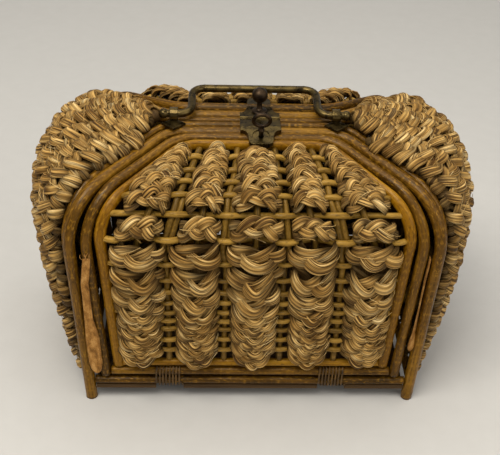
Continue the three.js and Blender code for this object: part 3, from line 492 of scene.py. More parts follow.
def cane(name, points, radius, body, slot, node, sides=20, flat=None):
    """A natural cane: a tube along a line. Two sines make its thickness waver, and at each joint a bell curve
    stands up between two shallow ones. flat is the side that a flat cane faces and how thin it is."""
    points = even(points, CANE_STEP)
    run = lengths_of(points)
    seed = draw(0, 50)
    wave = 0.018 * np.sin(run / 23 + seed) + 0.012 * np.sin(run / 9.1 + 2 * seed)
    joint = np.abs(((run + draw(0, CANE_JOINTS)) % CANE_JOINTS) - CANE_JOINTS / 2)
    ring = 0.05 * np.exp(-((joint / 1.6) ** 2)) - 0.03 * np.exp(-(((joint - 2.8) / 1.5) ** 2))
    if flat is not None:
        face, squash = flat
        flat = (np.broadcast_to([0, face, 0], points.shape), squash)
    shape = Shape()
    tone = draw(0.25, 0.75)
    shape.tube(points, radius * (0.98 + wave + ring), sides, tone, 1.0, flat)
    shape.build(name, AMBER if slot == "amber_cane" else DARK, node, body)


PANEL_RAIL_HEIGHT = RAIL_HEIGHT + RAIL_RADIUS + PANEL_RAIL_GAP + PANEL_RAIL_RADIUS
INNER_RAIL_HEIGHT = PANEL_RAIL_HEIGHT + PANEL_RAIL_RADIUS + INNER_RAIL_GAP + INNER_RADIUS
PANEL_TOP_DEPTH = RIDGE[1] + HOOP_RADIUS + PANEL_RADIUS + PANEL_TOP_GAP
ROOF = math.atan2(PANEL_TOP - SHOULDER[2], SHOULDER[1] - PANEL_TOP_DEPTH)
TOP_STEP = PANEL_RADIUS + MESH_GAP + INNER_RADIUS
INNER_TOP_DEPTH = PANEL_TOP_DEPTH + TOP_STEP * math.cos(ROOF)
INNER_TOP = PANEL_TOP - TOP_STEP * math.sin(ROOF)
FOOT_STEP = HOOP_RADIUS + PANEL_FOOT_GAP + PANEL_RADIUS
SHOULDER_STEP = HOOP_RADIUS + PANEL_SHOULDER_GAP + PANEL_RADIUS
INNER_STEP = PANEL_RADIUS + INNER_SIDE_GAP + INNER_RADIUS
PANEL_FOOT = leg_at(PANEL_RAIL_HEIGHT - PANEL_RAIL_RADIUS) - [FOOT_STEP, 0, 0]
PANEL_SHOULDER = SHOULDER - [SHOULDER_STEP, 0, 0]
PANEL_RIDGE = np.array([RIDGE[0] - PANEL_RIDGE_INSET, PANEL_TOP_DEPTH, PANEL_TOP])
INNER_FOOT = leg_at(INNER_RAIL_HEIGHT - INNER_RADIUS) - [FOOT_STEP + INNER_STEP, 0, 0]
INNER_SHOULDER = PANEL_SHOULDER - [INNER_STEP, 0, INNER_SIDE_GAP]
INNER_RIDGE = np.array([PANEL_RIDGE[0] - INNER_RIDGE_INSET, INNER_TOP_DEPTH, INNER_TOP])
ENDS = (("left", -1), ("right", 1))
PANELS = (("door", -1, "door"), ("rear", 1, "basket_body"))


def rail_line(reach, height, side):
    """A straight line from left to right, at the depth of the legs."""
    y = leg_at(height)[1] * side
    return np.array([[-reach, y, height], [reach, y, height]])


def body_canes(word, side):
    """The body hoop, base rail and two edge canes of the front or the rear."""
    place = ("basket_body", "dark_cane")
    front = side < 0
    wide = 1.0 if front else REAR_HOOP_WIDE
    flat = (side, 1 / wide)
    hoop = hoop_path(leg_at(0.25), SHOULDER, RIDGE, side)
    cane(f"{word}_hoop_cane", hoop, HOOP_RADIUS * wide, *place, f"{word}_body_hoop", flat=flat)
    wide = 1.0 if front else REAR_RAIL_WIDE
    flat = (side, 1 / wide)
    line = rail_line(leg_at(RAIL_HEIGHT)[0] - HOOP_RADIUS - MESH_GAP, RAIL_HEIGHT, side)
    cane(f"{word}_rail_cane", line, RAIL_RADIUS * wide, *place, f"{word}_base_rail", flat=flat)
    step = HOOP_RADIUS + EDGE_RADIUS + MESH_GAP
    edge_top = RIDGE[2] + HOOP_RADIUS - EDGE_RADIUS
    corners = [leg_at(EDGE_FOOT) + [step * EDGE_OUT, -step * EDGE_FORWARD, 0], SHOULDER + EDGE_SHOULDER,
               np.array([RIDGE[0] + EDGE_RIDGE_OUT, EDGE_RIDGE_DEPTH, edge_top]),
               np.array([MESH_GAP / 2, EDGE_RIDGE_DEPTH, edge_top])]
    for end_word, end in ENDS:
        line = bent_path(corners, [SHOULDER_BEND, RIDGE_BEND]) * [end, side, 1]
        both = f"{word}_{end_word}"
        cane(f"edge_{both}_cane", line, EDGE_RADIUS, *place, f"edge_cane_{both}", sides=14)


def panel_canes(prefix, side, body):
    """The outer and inner hoop and rail of the door or the rear panel."""
    outer_shift, inner_shift, wide, inner_wide = (0.0, 0.0, 1.0, 1.0) if side < 0 else REAR_CANES
    outer = hoop_path(PANEL_FOOT + [outer_shift, 0, 0], PANEL_SHOULDER, PANEL_RIDGE, side)
    inner = hoop_path(INNER_FOOT + [inner_shift, 0, 0], INNER_SHOULDER, INNER_RIDGE, side, INNER_BEND)
    radius = INNER_WIDE * inner_wide
    flat = (side, 1 / wide)
    cane(f"{prefix}_outer_cane", outer, PANEL_RADIUS * wide, body, "dark_cane", f"{prefix}_outer_hoop",
         flat=flat)
    cane(f"{prefix}_inner_cane", inner, radius, body, "amber_cane", f"{prefix}_inner_hoop",
         flat=(side, INNER_RADIUS / radius))
    for word, foot, height, radius, thick, slot in (
        ("outer", PANEL_FOOT, PANEL_RAIL_HEIGHT, PANEL_RAIL_RADIUS, PANEL_RADIUS, "dark_cane"),
        ("inner", INNER_FOOT, INNER_RAIL_HEIGHT, INNER_RADIUS, INNER_RADIUS, "amber_cane"),
    ):
        line = rail_line(foot[0] - thick - MESH_GAP, height, side)
        name = f"{prefix}_{word}_rail"
        cane(name + "_cane", line, radius * wide, body, slot, name, flat=flat)


def end_rail(word, end):
    """The base rail of one end, from front to rear."""
    rail = leg_at(RAIL_HEIGHT)
    reach = rail[1] - HOOP_RADIUS - MESH_GAP
    line = np.array([[rail[0] * end, -reach, RAIL_HEIGHT], [rail[0] * end, reach, RAIL_HEIGHT]])
    cane(f"{word}_rail_cane", line, RAIL_RADIUS, "basket_body", "dark_cane", f"{word}_base_rail")


body_canes("front", -1)
body_canes("rear", 1)
for word, end in ENDS:
    end_rail(word, end)
for prefix, side, body in PANELS:
    panel_canes(prefix, side, body)


# Woven panels
panel_start = leg_at(INNER_RAIL_HEIGHT + INNER_RADIUS)
panel_end = INNER_TOP_DEPTH + INNER_RADIUS * math.cos(ROOF)
profile_corners = [
    [0, panel_start[1], panel_start[2]],
    [0, SHOULDER[1], SHOULDER[2]],
    [0, panel_end, PANEL_TOP - (panel_end - PANEL_TOP_DEPTH) * math.tan(ROOF)],
]
profile = bent_path(profile_corners, [PANEL_BEND], 20)
BEND_START = lengths_of(profile)[1]
profile = even(profile, 1.0)
profile_run = lengths_of(profile)
PANEL_LENGTH = profile_run[-1]
BEND_SHARE = BEND_START / PANEL_LENGTH
slope = np.gradient(profile, axis=0)
slope /= np.linalg.norm(slope, axis=1)[:, None]
inner_line = even(hoop_path(INNER_FOOT, INNER_SHOULDER, INNER_RIDGE, 1, INNER_BEND), 1.0)
inner_line = inner_line[inner_line[:, 0] > 0]

WEAVE = (STAKE_RADIUS + WEAVER_RADIUS) * 0.8
STAKE_STEP = 2.5
STAKE_INSET = 0.4
ROW_STEP = 1.5
# Between these shares of the panel, the stakes between two columns are doubled
TWIN_FROM = 0.53
TWIN_TO = 0.78
TWIN_GAP = 4.1
# Round that, the first of the two moves aside
ASIDE = 2.1
ASIDE_FROM = 0.47
ASIDE_TO = 0.83
ASIDE_WAY = 0.07


def on_panel(side, x, along, out):
    """Points of a panel: x across, millimetres up its bent side view, and how far they stand out of it."""
    x, along, out = np.broadcast_arrays(*(np.asarray(v, float) for v in (x, along, out)))
    y, z = (np.interp(along, profile_run, profile[:, k]) for k in (1, 2))
    ty, tz = (np.interp(along, profile_run, slope[:, k]) for k in (1, 2))
    over = along - np.clip(along, 0, PANEL_LENGTH)
    return np.stack([x, (y + ty * over + tz * out) * side, z + tz * over - ty * out], axis=-1)


def rise_at(along):
    """The way from the bend of the panel to its top, 0 to 1."""
    return np.clip((np.asarray(along) / PANEL_LENGTH - BEND_SHARE) / (1 - BEND_SHARE), 0, 1)


def spacing_at(along):
    """Distance between neighbouring columns at a place up the panel."""
    return COLUMN_SPACING + (COLUMN_TOP_SPACING - COLUMN_SPACING) * rise_at(along)


def clear_half(along):
    """Half the width inside the inner hoop at a place up the panel."""
    p = on_panel(1, 0, along, 0)
    away = np.hypot(np.abs(inner_line[:, 1]) - p[1], inner_line[:, 2] - p[2])
    return inner_line[np.argmin(away), 0] - INNER_RADIUS


def panel_lattice(prefix, side, body):
    """Upright stakes, and thin canes that pass behind the columns and in front of the stakes between them, in
    the form of a cosine. The stakes get a darker tone and a lower depth than the weavers: painted shade."""
    shape = Shape()
    for k in range(-4, 5):
        along = np.arange(STAKE_INSET, PANEL_LENGTH - STAKE_INSET, STAKE_STEP)
        x = k / 2 * spacing_at(along)
        if abs(k) > 2:
            room = np.array([clear_half(a) for a in along]) - STAKE_RADIUS - STAKE_INSET
            keep = np.abs(x) < room
            keep[along < BEND_START] = True
            along, x = along[keep], x[keep]
        wobble = 0.25 * np.sin(along / 17 + k * 2.1)
        if k % 2:
            share = along / PANEL_LENGTH
            twin = (share > TWIN_FROM) & (share < TWIN_TO)
            back = np.clip((ASIDE_TO - share) / ASIDE_WAY, 0, 1)
            wobble = wobble - ASIDE * np.clip((share - ASIDE_FROM) / ASIDE_WAY, 0, 1) * back
            line = on_panel(side, x[twin] + wobble[twin] + TWIN_GAP, along[twin], 0)
            # Painted shade: the twin stake gets a dark tone and a depth of 0.85.
            shape.tube(line, STAKE_RADIUS * 0.95, 12, draw(0.2, 0.5), 0.85)
        thickness = STAKE_RADIUS * (1 + 0.03 * np.sin(along / 7 + k))
        line = on_panel(side, x + wobble, along, 0)
        # Painted shade: the stake gets a dark tone and a depth of 0.8.
        shape.tube(line, thickness, 12, draw(0.1, 0.45), 0.8)
    for i, share in enumerate(WEAVER_ROWS + SHOULDER_ROWS):
        shoulder = share in SHOULDER_ROWS
        along = share * PANEL_LENGTH
        end = clear_half(along) + (0.6 if shoulder else 0.2)
        x = np.arange(-end, end + 0.01, ROW_STEP)
        phase = x / spacing_at(along) * 2 * math.pi
        out = 0.3 - 3.1 * np.cos(phase) if shoulder else -WEAVE * np.cos(phase)
        fade = 8 if shoulder else 5
        out = out * np.clip((end - np.abs(x)) / fade, 0, 1)
        radius = WEAVER_RADIUS * (1.4 if shoulder else 1.3 if share > 0.7 else 1.12)
        thickness = radius * (1 + 0.05 * np.sin(x / 9 + i))
        wander = 0.5 * np.sin(x / 31 + i * 1.7) + draw(-0.3, 0.3)
        line = on_panel(side, x, along + wander, out)
        # Painted shade: the lower weavers get a depth of 0.9.
        depth = 1.0 if shoulder else 0.9
        shape.tube(line, thickness, 10, draw(0.45, 0.95), depth)
    shape.build(f"{prefix}_woven_canes", THIN, f"{prefix}_lattice", body)


# Plaits
PLAIT_SAMPLES = 160
# The path round a column is a sine and a cosine to this power, a little squarer than a circle
SQUARENESS = 0.82
HAIRS = 2
HAIR_LENGTH = 13
HAIR_RADIUS = 0.17
CORE_THICK = 1.2
THICKEST = 3.2
TOPMOST_LOWER = 0.44
UNDER_LOCK = 0.97
OUTER_REACH = 17.0


def braid(shape, place, half, proud, droop, tilt, width, thick, period, sway, sides, step, turn, lobes):
    """One plait of three strands wound over a column. A strand swings from edge to edge as a sine and rises
    twice as often, so that it passes over one neighbour and under the other. Its edge has a lobe for each
    stalk, and the lobes twist slowly along it. A few loose fibres lift off in a parabola."""
    seed = draw(0, 1)
    theta = np.linspace(-turn, turn, PLAIT_SAMPLES)
    cx = half * np.sign(np.sin(theta)) * np.abs(np.sin(theta)) ** SQUARENESS
    co = STAKE_RADIUS + proud * np.sign(np.cos(theta)) * np.abs(np.cos(theta)) ** SQUARENESS
    run = np.concatenate([[0], np.cumsum(np.hypot(np.diff(cx), np.diff(co)))])
    want = np.linspace(0, run[-1], max(int(run[-1] / step), 12))
    cx, co = np.interp(want, run, cx), np.interp(want, run, co)
    tx, to = np.gradient(cx), np.gradient(co)
    norm = np.hypot(tx, to)
    nx, no = -to / norm, tx / norm
    sag = droop * ((cx / half) ** 2 - 0.4)

    def line_at(rise, across, part=slice(None)):
        """Points over the middle line of the plait, moved across it."""
        return place(cx[part] + nx[part] * rise, sag[part] + across, co[part] + no[part] * rise)

    for k in range(3):
        phase = 2 * math.pi * (want / (period * width) + k / 3 + seed)
        phase += 0.35 * np.sin(want / 9 + seed * 30 + k)
        across = sway * width * np.sin(phase) * (1 + 0.2 * math.sin(seed * 9 + k))
        rise = thick * 0.52 * np.sin(2 * phase) - tilt * across
        centre = line_at(rise, across)
        normal = line_at(rise + 0.4, across) - centre
        taper = np.clip(np.minimum(want, want[-1] - want) / 3.0, 0.35, 1)
        wide = width * 0.5 * (1 + 0.1 * np.sin(want / 5 + seed * 20 + k) + 0.12 * np.sin(2 * phase)) * taper
        height = np.clip((co + rise - STAKE_RADIUS) / proud, 0, 1)
        around = np.arange(sides) / sides * 2 * math.pi
        lobe = np.cos(lobes * around[None, :] + want[:, None] / 4 + k)
        stalk = np.sin(3 * around[None, :] + want[:, None] / 11 + 5 * k + seed * 40)
        # Painted shade: the depth falls where the strand lies low, dips under a neighbour or sinks between
        # its lobes, and the straw darkens it there.
        deep = (0.12 + 0.88 * height * (0.7 + 0.3 * np.sin(2 * phase)))[:, None] * (0.7 + 0.3 * lobe)
        radius = wide[:, None] * (1 + 0.09 * lobe + 0.06 * stalk)
        tone = draw(0.32, 0.72) + 0.2 * stalk
        shape.tube(centre, radius, sides, tone, deep, (normal, thick / width))
    for _ in range(HAIRS):
        first = int(draw(0.15, 0.7) * len(want))
        part = np.arange(first, min(first + int(HAIR_LENGTH / step), len(want) - 1))
        free = (part - first) / len(part)
        rise = thick * 0.9 + draw(0.6, 2.0) * free ** 2
        across = width * (draw(-0.6, 0.6) + draw(-1.2, 1.2) * free)
        tone = draw(0.6, 1.0)
        shape.tube(line_at(rise, across, part), HAIR_RADIUS, 4, tone, 1.0)


def core(shape, place, half, low, high, out):
    """The ground between the plaits, painted nearly black as deep shade: a flat strip up the column, whose
    front ripples as a cosine of the height, less towards the edges as a parabola."""
    rise = np.linspace(low, high, max(int((high - low) / 4), 3))
    x, up = np.meshgrid(np.linspace(-1, 1, 17) * half, rise)
    front = place(x, up, out + 0.8 * np.cos(up / 2.1) * (1 - (x / half) ** 2))
    back = place(x, up, out - CORE_THICK)[:, ::-1]
    rings = np.concatenate([front, back], axis=1)
    uv = np.stack([np.concatenate([x, x[:, ::-1]], axis=1), np.concatenate([up, up], axis=1)], axis=-1)
    # Painted shade: a low tone and a depth of 0.05 make the strip nearly black.
    shape.grid(rings, uv, 0.25, 0.05)


def lower_row(share, pitch, front, number):
    """Width, lift and droop of a lower plait. The topmost one, over the bend, is wide and nearly straight."""
    droop = (12.0 if front else 6.0) - 2 * number
    if share > TOPMOST_LOWER:
        return 8.2, 5.0, droop * 0.4
    width = min(max(pitch * 0.52, 4.4), 7.4)
    lift = 1.5 if share > 0.36 else 0.0
    return width, lift, droop


def panel_straw(prefix, side, body, column, detail):
    """All plaits of one column. Lower ones hang in a U, upper ones arch and on the outer columns reach out to
    the hoop."""
    shape = Shape()
    front = side < 0
    number = abs(column)

    def spot(along, lean, shift=0.0):
        """Where the points of a plait go, at a height and leaning to a side."""
        def place(x, up, out):
            s = along + up + lean * x
            return on_panel(side, column * spacing_at(s) + shift + x, s, out)
        return place

    for kind, look in PLAITS.items():
        rows = look["rows"]
        more = 0.0 if front else look["rear_more"]
        first, last = (half + more for half in look["halves"][number])
        for a, b in zip(rows[:-1], rows[1:]):
            along = (a + b) / 2 * PANEL_LENGTH + draw(-0.5, 0.5)
            pitch = (b - a) * PANEL_LENGTH
            proud = STRAW_PROUD + (STRAW_TOP_PROUD - STRAW_PROUD) * float(rise_at(along))
            if column == 0 and front and b > UNDER_LOCK:
                along -= 4.0
            if kind == "lower" and a < 0.2:
                along += 5.5 * (1 - a / 0.2)
            way = np.clip((a - rows[0]) / (rows[-2] - rows[0] + 1e-9), 0, 1)
            half = first + (last - first) * way
            shift = 0.0
            if number == 2 and kind != "lower":
                room = clear_half(along) - number * float(spacing_at(along)) - 1.2
                edge = min(room - 0.6, OUTER_REACH)
                shift = (edge - half) / 2 * np.sign(column)
                half = (half + edge) / 2
            if kind == "lower":
                width, lift, droop = lower_row(a, pitch, front, number)
            else:
                width, lift, droop = look["width"], look["lift"], look["droop"]
            thick = min(width * look["thick"], THICKEST)
            place = spot(along + lift, draw(-0.03, 0.03), shift)
            braid(shape, place, half - thick * 0.35, proud - thick, droop, look["tilt"], width, thick,
                  look["period"], look["sway"], **detail)
        low = rows[0] * PANEL_LENGTH + look["foot"][0 if front else 1]
        high = rows[-1] * PANEL_LENGTH - look["head"]
        half = min(first, last) * (0.8 if front else 1.0)
        if number == 2:
            half = min(half, clear_half(high) - number * float(spacing_at(high)) - 1.0)
        core(shape, spot(0.0, 0.0), half, low, high, STAKE_RADIUS + 2.4)
    name = f"{prefix}_plaits_{column + 3}"
    shape.build(name, STRAW, f"{prefix}_straw_column_{column + 3}", body)


for prefix, side, body in PANELS:
    panel_lattice(prefix, side, body)
    for column in range(-2, 3):
        panel_straw(prefix, side, body, column, DOOR_DETAIL if prefix == "door" else REAR_DETAIL)


# Gussets
rim_line = bent_path([leg_at(RAIL_HEIGHT + RAIL_RADIUS + MESH_GAP), SHOULDER, RIDGE], [SHOULDER_BEND])
rim_line = even(rim_line, 1.0)
rim_run = lengths_of(rim_line)
RIM_LENGTH = rim_run[-1]
COLUMN_SHARE = (1 - 2 * GUSSET_EDGE) / 5
CENTRES = [GUSSET_EDGE + (i + 0.5) * COLUMN_SHARE for i in range(5)]
PROBE = 0.02
SKIN_STEP = 0.01
GUSSET_SAMPLES = 60


def gusset_skin(u, v):
    """The bulging skin between the hoops, a parabola of u (front to rear) and a sine of v (foot to ridge)."""
    u, v = np.broadcast_arrays(np.asarray(u, float), np.asarray(v, float))
    along = np.clip(v, 0, 1) * RIM_LENGTH
    rim = np.stack([np.interp(along, rim_run, rim_line[:, k]) for k in range(3)], axis=-1)
    puff = 4 * u * (1 - u)
    taper = np.clip((v - GUSSET_TAPER) / (1 - GUSSET_TAPER), 0, 1)
    full = np.sin(math.pi / 2 * np.clip(v / GUSSET_FULL, 0, 1))
    swell = GUSSET_BULGE * full * (1 + (GUSSET_TOP_BULGE - 1) * taper)
    crown = GUSSET_CROWN * np.sin(math.pi * 0.8 * np.clip((v - 0.5) / 0.5, 0, 1))
    x, y, z = (rim[..., k] for k in range(3))
    return np.stack([x + swell * puff, y * (2 * u - 1), z + crown * puff], axis=-1)


def on_gusset(end, u, v, out):
    """Points that stand a distance out of the gusset's skin."""
    u, v, out = np.broadcast_arrays(*(np.asarray(a, float) for a in (u, v, out)))
    du = gusset_skin(u + SKIN_STEP, v) - gusset_skin(u - SKIN_STEP, v)
    dv = gusset_skin(u, np.minimum(v + SKIN_STEP, 1)) - gusset_skin(u, np.maximum(v - SKIN_STEP, 0))
    normal = np.cross(du, dv)
    normal /= np.linalg.norm(normal, axis=-1)[..., None]
    flip = np.where(normal[..., 0] + normal[..., 2] < 0, -1.0, 1.0)
    p = gusset_skin(u, v) + normal * (flip * out)[..., None]
    p[..., 0] *= end
    return p


def gusset_spot(end, u0, v0, scale, lean):
    """Where the points of a plait go on a gusset."""
    def place(x, up, out):
        v = np.clip(v0 + (up + lean * x) / RIM_LENGTH, 0, 1)
        return on_gusset(end, u0 + x / scale, v, out)
    return place


def gusset_core_spot(end, u0, outer):
    """Where a core's points go. Its edge beside a hoop is tucked in, as the fourth power of the way."""
    def place(x, up, out):
        lip = np.clip(2 * x * outer, 0, 1) ** 4
        u = u0 + x * COLUMN_SHARE * 1.02 + outer * 0.02 * lip
        return on_gusset(end, u, up / RIM_LENGTH, out - 6.5 * lip)
    return place


def gusset_canes(word, end):
    """The stakes and weavers of one end of the basket, behind the straw, with painted shade from a depth of
    0.6.
    """
    shape = Shape()
    for i, u in enumerate(CENTRES):
        line = on_gusset(end, u, np.linspace(0, GUSSET_STAKE_TOPS[abs(i - 2)], GUSSET_SAMPLES), 0)
        # Painted shade: a depth of 0.6, as the stakes lie behind the straw.
        shape.tube(line, STAKE_RADIUS, 10, draw(0.2, 0.7), 0.6)
    for v in GUSSET_WEAVERS:
        u = np.linspace(GUSSET_EDGE * 1.15, 1 - GUSSET_EDGE * 1.15, GUSSET_SAMPLES)
        line = on_gusset(end, u, v, -WEAVE)
        # Painted shade: a depth of 0.6, as the weavers lie behind the straw.
        shape.tube(line, WEAVER_RADIUS, 10, draw(0.3, 0.8), 0.6)
    shape.build(f"gusset_canes_{word}", THIN, f"gusset_lattice_{word}")


def gusset_column(word, end, i, u0):
    """The plaits of one column of a gusset. The outer columns are wider, more so in their upper rows."""
    top = GUSSET_TOPS[abs(i - 2)]
    count = PLAIT_COUNTS[abs(i - 2)]
    outer = {0: -1.0, 4: 1.0}.get(i, 0.0)
    width = top / count * RIM_LENGTH * 0.66
    thick = width * 0.42
    shape = Shape()
    for k in range(count):
        v0 = (k + 0.5) * top / count
        pair = gusset_skin(np.array([u0 - PROBE, u0 + PROBE]), np.array([v0, v0]))
        scale = np.linalg.norm(pair[1] - pair[0]) / (2 * PROBE)
        half = max(COLUMN_SHARE / 2 * scale * 1.1, 6.0)
        if outer:
            half += 1.2 + 2.2 * np.clip(5 * k / count - 4, 0, 1)
        place = gusset_spot(end, u0, v0, scale, draw(-0.04, 0.04))
        braid(shape, place, half - thick * 0.3, GUSSET_PROUD - thick * 1.1, 4.0, 0.5, width, thick, 6.4, 0.6,
              **GUSSET_DETAIL)
    place = gusset_core_spot(end, u0, outer)
    core(shape, place, 0.5, 0.002 * RIM_LENGTH, (top - 0.015) * RIM_LENGTH, STAKE_RADIUS + 2.2)
    shape.build(f"gusset_plaits_{word}_{i + 1}", STRAW, f"gusset_straw_{word}_{i + 1}")


for word, end in ENDS:
    gusset_canes(word, end)
    for i, u0 in enumerate(CENTRES):
        gusset_column(word, end, i, u0)


# Wire hinges
LOOP_POINTS = 40
LOOP_PLAY = 0.5
WIRE_SWELL = 1.05


def hinge_wire(word, end):
    """Turns of wire round two rails: half a circle over the door's rail and half under the base rail."""
    low = leg_at(RAIL_HEIGHT)
    high = leg_at(PANEL_RAIL_HEIGHT)
    angle = np.linspace(0, 2 * math.pi, LOOP_POINTS, endpoint=False)
    upper = np.sin(angle) > 0
    radius = np.where(upper, PANEL_RAIL_RADIUS + LOOP_PLAY, RAIL_RADIUS + MESH_GAP) + WIRE_RADIUS
    y = np.where(upper, high[1], low[1]) + radius * np.cos(angle)
    z = np.where(upper, high[2], low[2]) + radius * np.sin(angle)
    count = LOOP_POINTS * HINGE_TURNS
    turn = np.linspace(-HINGE_TURNS / 2, HINGE_TURNS / 2, count)
    x = HINGE_OFFSET * end + turn * WIRE_PITCH + 0.12 * np.sin(np.arange(count) / 23)
    shape = Shape()
    line = np.stack([x, -np.tile(y, HINGE_TURNS), np.tile(z, HINGE_TURNS)], axis=1)
    shape.tube(line, WIRE_RADIUS * WIRE_SWELL, 10, start=0)
    shape.build(f"hinge_wire_{word}", WIRE, f"hinge_winding_{word}")


for word, end in ENDS:
    hinge_wire(word, end)


# Handle, key and knob. Outlines of turned forms are pairs of a distance along the axis and a radius
COLLAR = [(-0.9, 2.7), (-0.7, 3.3), (0, 3.5), (0.7, 3.3), (0.9, 2.7)]
COLLAR_INSET = 4.6
KEY_STEM = [(0, 1.2), (0.2, 1.6), (6.2, 1.6), (6.5, 2.3), (7.4, 2.3), (7.7, 1.6), (9.6, 1.5), (10.4, 1.2)]
KEY_SUNK = 2.2
BOW_RADIUS = 5.3
BOW_LIFT = 8.5
BOW_WIDE = 1.08
BOW_TALL = 0.97
BOW_ROD = 1.35
KNOB_FOOT = [(0, 0.05), (0, 5.6), (0.5, 5.6), (1.1, 5.3), (1.5, 4.4), (1.9, 2.6), (3.0, 1.9), (7.4, 1.9)]
KNOB_NECK = 1.9
KNOB_NECK_TOP = 7.5
KNOB_BALL = 5.7
HASP_THICKNESS = 1.2


def turned(shape, place, axis, outline, sides):
    """A turned form: rings of the outline's radii along an axis."""
    axis = np.asarray(axis, float) / np.linalg.norm(axis)
    side = np.cross(axis, [0.3, 0.5, 0.81])
    side /= np.linalg.norm(side)
    other = np.cross(axis, side)
    angle = np.arange(sides) / sides * 2 * math.pi
    circle = np.cos(angle)[:, None] * side + np.sin(angle)[:, None] * other
    rings = np.array([place + axis * height + radius * circle for height, radius in outline])
    uv = np.stack(np.meshgrid(angle * 3, [p[0] for p in outline]), axis=-1)
    shape.grid(rings, uv, 0.5, 1.0)


def ball(radius, start, count, least):
    """The outline of a ball from an angle on, as half a circle."""
    angles = np.linspace(start, math.pi, count)
    return [(-radius * math.cos(a), max(radius * math.sin(a), least)) for a in angles]


def handle():
    """The bail: a bent rod with a ball and a collar at each end."""
    turn = math.radians(HANDLE_REST)
    reach = np.array([0, HANDLE_REACH * math.cos(turn), HANDLE_REACH * math.sin(turn)])
    rod_end = np.array([HANDLE_SPAN - FINIAL_RADIUS, 0, 0])
    grip = np.array([HANDLE_GRIP, 0, 0])
    corners = [-rod_end, -grip, -grip + reach, grip + reach, grip, rod_end]
    shape = Shape()
    path = even(bent_path([c + HANDLE_PIVOT for c in corners], [HANDLE_BEND] * 4), 1.2)
    shape.tube(path, HANDLE_ROD, 28, start=0)
    for end in (-1, 1):
        axis = (end, 0, 0)
        turned(shape, HANDLE_PIVOT + end * rod_end, axis, ball(FINIAL_RADIUS, 0, 16, 0.02), 32)
        turned(shape, HANDLE_PIVOT + end * (rod_end - [COLLAR_INSET, 0, 0]), axis, COLLAR, 32)
    shape.build("handle_bar", BRONZE, "handle_bail", "handle")


def key():
    """The key in its keyhole on the sloping lock case: a turned stem and a nearly round bow."""
    normal = np.array([0, -math.sin(ROOF), math.cos(ROOF)])
    down = np.array([0, -math.cos(ROOF), -math.sin(ROOF)])
    lift = (PANEL_RADIUS + MESH_GAP) / math.cos(ROOF)
    lock_top = PANEL_TOP + (PANEL_TOP_DEPTH - LOCK_TOP_DEPTH) * math.tan(ROOF) + lift
    keyhole = np.array([LOCK_OFFSET, -LOCK_TOP_DEPTH, lock_top]) + down * KEYHOLE_DROP
    shape = Shape()
    turned(shape, keyhole + normal * (LOCK_THICKNESS - KEY_SUNK + MESH_GAP), normal, KEY_STEM, 28)
    centre = keyhole + normal * (LOCK_THICKNESS + BOW_LIFT + BOW_RADIUS)
    angle = np.linspace(0, 2 * math.pi, 73)[:, None]
    across = np.array([1.0, 0, 0])
    loop = centre + BOW_RADIUS * (BOW_WIDE * np.cos(angle) * across + BOW_TALL * np.sin(angle) * normal)
    shape.tube(loop, BOW_ROD, 20, start=0)
    shape.build("key_ring", IRON, "key", "key")


def knob():
    """The turned knob behind the hasp: a foot, a neck and a ball."""
    start = math.asin(KNOB_NECK / KNOB_BALL)
    ball_centre = KNOB_NECK_TOP + KNOB_BALL * math.cos(start)
    head = [(ball_centre + along, radius) for along, radius in ball(KNOB_BALL, start, 22, 0.03)]
    ridge_top = RIDGE[2] + HOOP_RADIUS + MESH_GAP
    place = np.array([LOCK_OFFSET, KNOB_DEPTH, ridge_top + HASP_THICKNESS + MESH_GAP])
    shape = Shape()
    turned(shape, place, (0, 0, 1), KNOB_FOOT + head, 44)
    shape.build("knob_turned", IRON, "lock_knob", "knob")


handle()
key()
knob()


# Leather straps
STRAP_TOP = float(hoop_path(FOOT, SHOULDER, RIDGE, 1)[1][2]) - 3.0
LEFT_STRAP_END = 28.0
RIGHT_STRAP_END = 50.0
LEFT_THICKNESS = 1.15
RIGHT_THICKNESS = 1.1
THREAD_RADIUS = 0.24
FRAY_RADIUS = 0.2
STITCHES = 17
FRAYS = 7


def strip(shape, centre, across, normal, wide, thick, cup, slit):
    """A thin strip along a centre line. Its edges curl as a parabola with the height cup. A slit sinks as a
    narrow bell curve."""
    s = np.linspace(-1, 1, 15)
    rows = centre[:, None, :] + across[:, None, :] * (s[None, :, None] * wide[:, None, None] / 2)
    rows = rows + normal[:, None, :] * (cup[:, None] * s[None, :] ** 2)[:, :, None]
    sink = slit[:, None] * np.exp(-((s[None, :] - 0.25) / 0.09) ** 2)
    rows = rows - normal[:, None, :] * sink[:, :, None]
    half = thick / 2 * (1 - 0.35 * s ** 8)
    front = rows + normal[:, None, :] * half[None, :, None]
    back = (rows - normal[:, None, :] * half[None, :, None])[:, ::-1]
    rings = np.concatenate([front, back], axis=1)
    v = np.broadcast_to(lengths_of(centre)[:, None], rings.shape[:2])
    u = np.concatenate([s, s[::-1]])[None, :] * wide[:, None] / 2
    edge = np.concatenate([1 - s ** 10, 1 - s[::-1] ** 10])
    shape.grid(rings, np.stack([u, v], axis=-1), 0.5, np.broadcast_to(0.3 + 0.7 * edge, rings.shape[:2]))
    return rows


def strap_axes(angle):
    """The directions across a hanging strap and out of it, when it is turned from the front by an angle."""
    none = np.zeros_like(angle)
    across = np.stack([np.cos(angle), np.sin(angle), none], axis=1)
    normal = np.stack([np.sin(angle), -np.cos(angle), none], axis=1)
    return across, normal


def down_leg(lowest, count):
    """The way down from the straps' top, the heights there and the points of the leg."""
    t = np.linspace(0, 1, count)
    height = STRAP_TOP + (lowest - STRAP_TOP) * t
    return t, height, np.array([leg_at(h) for h in height])


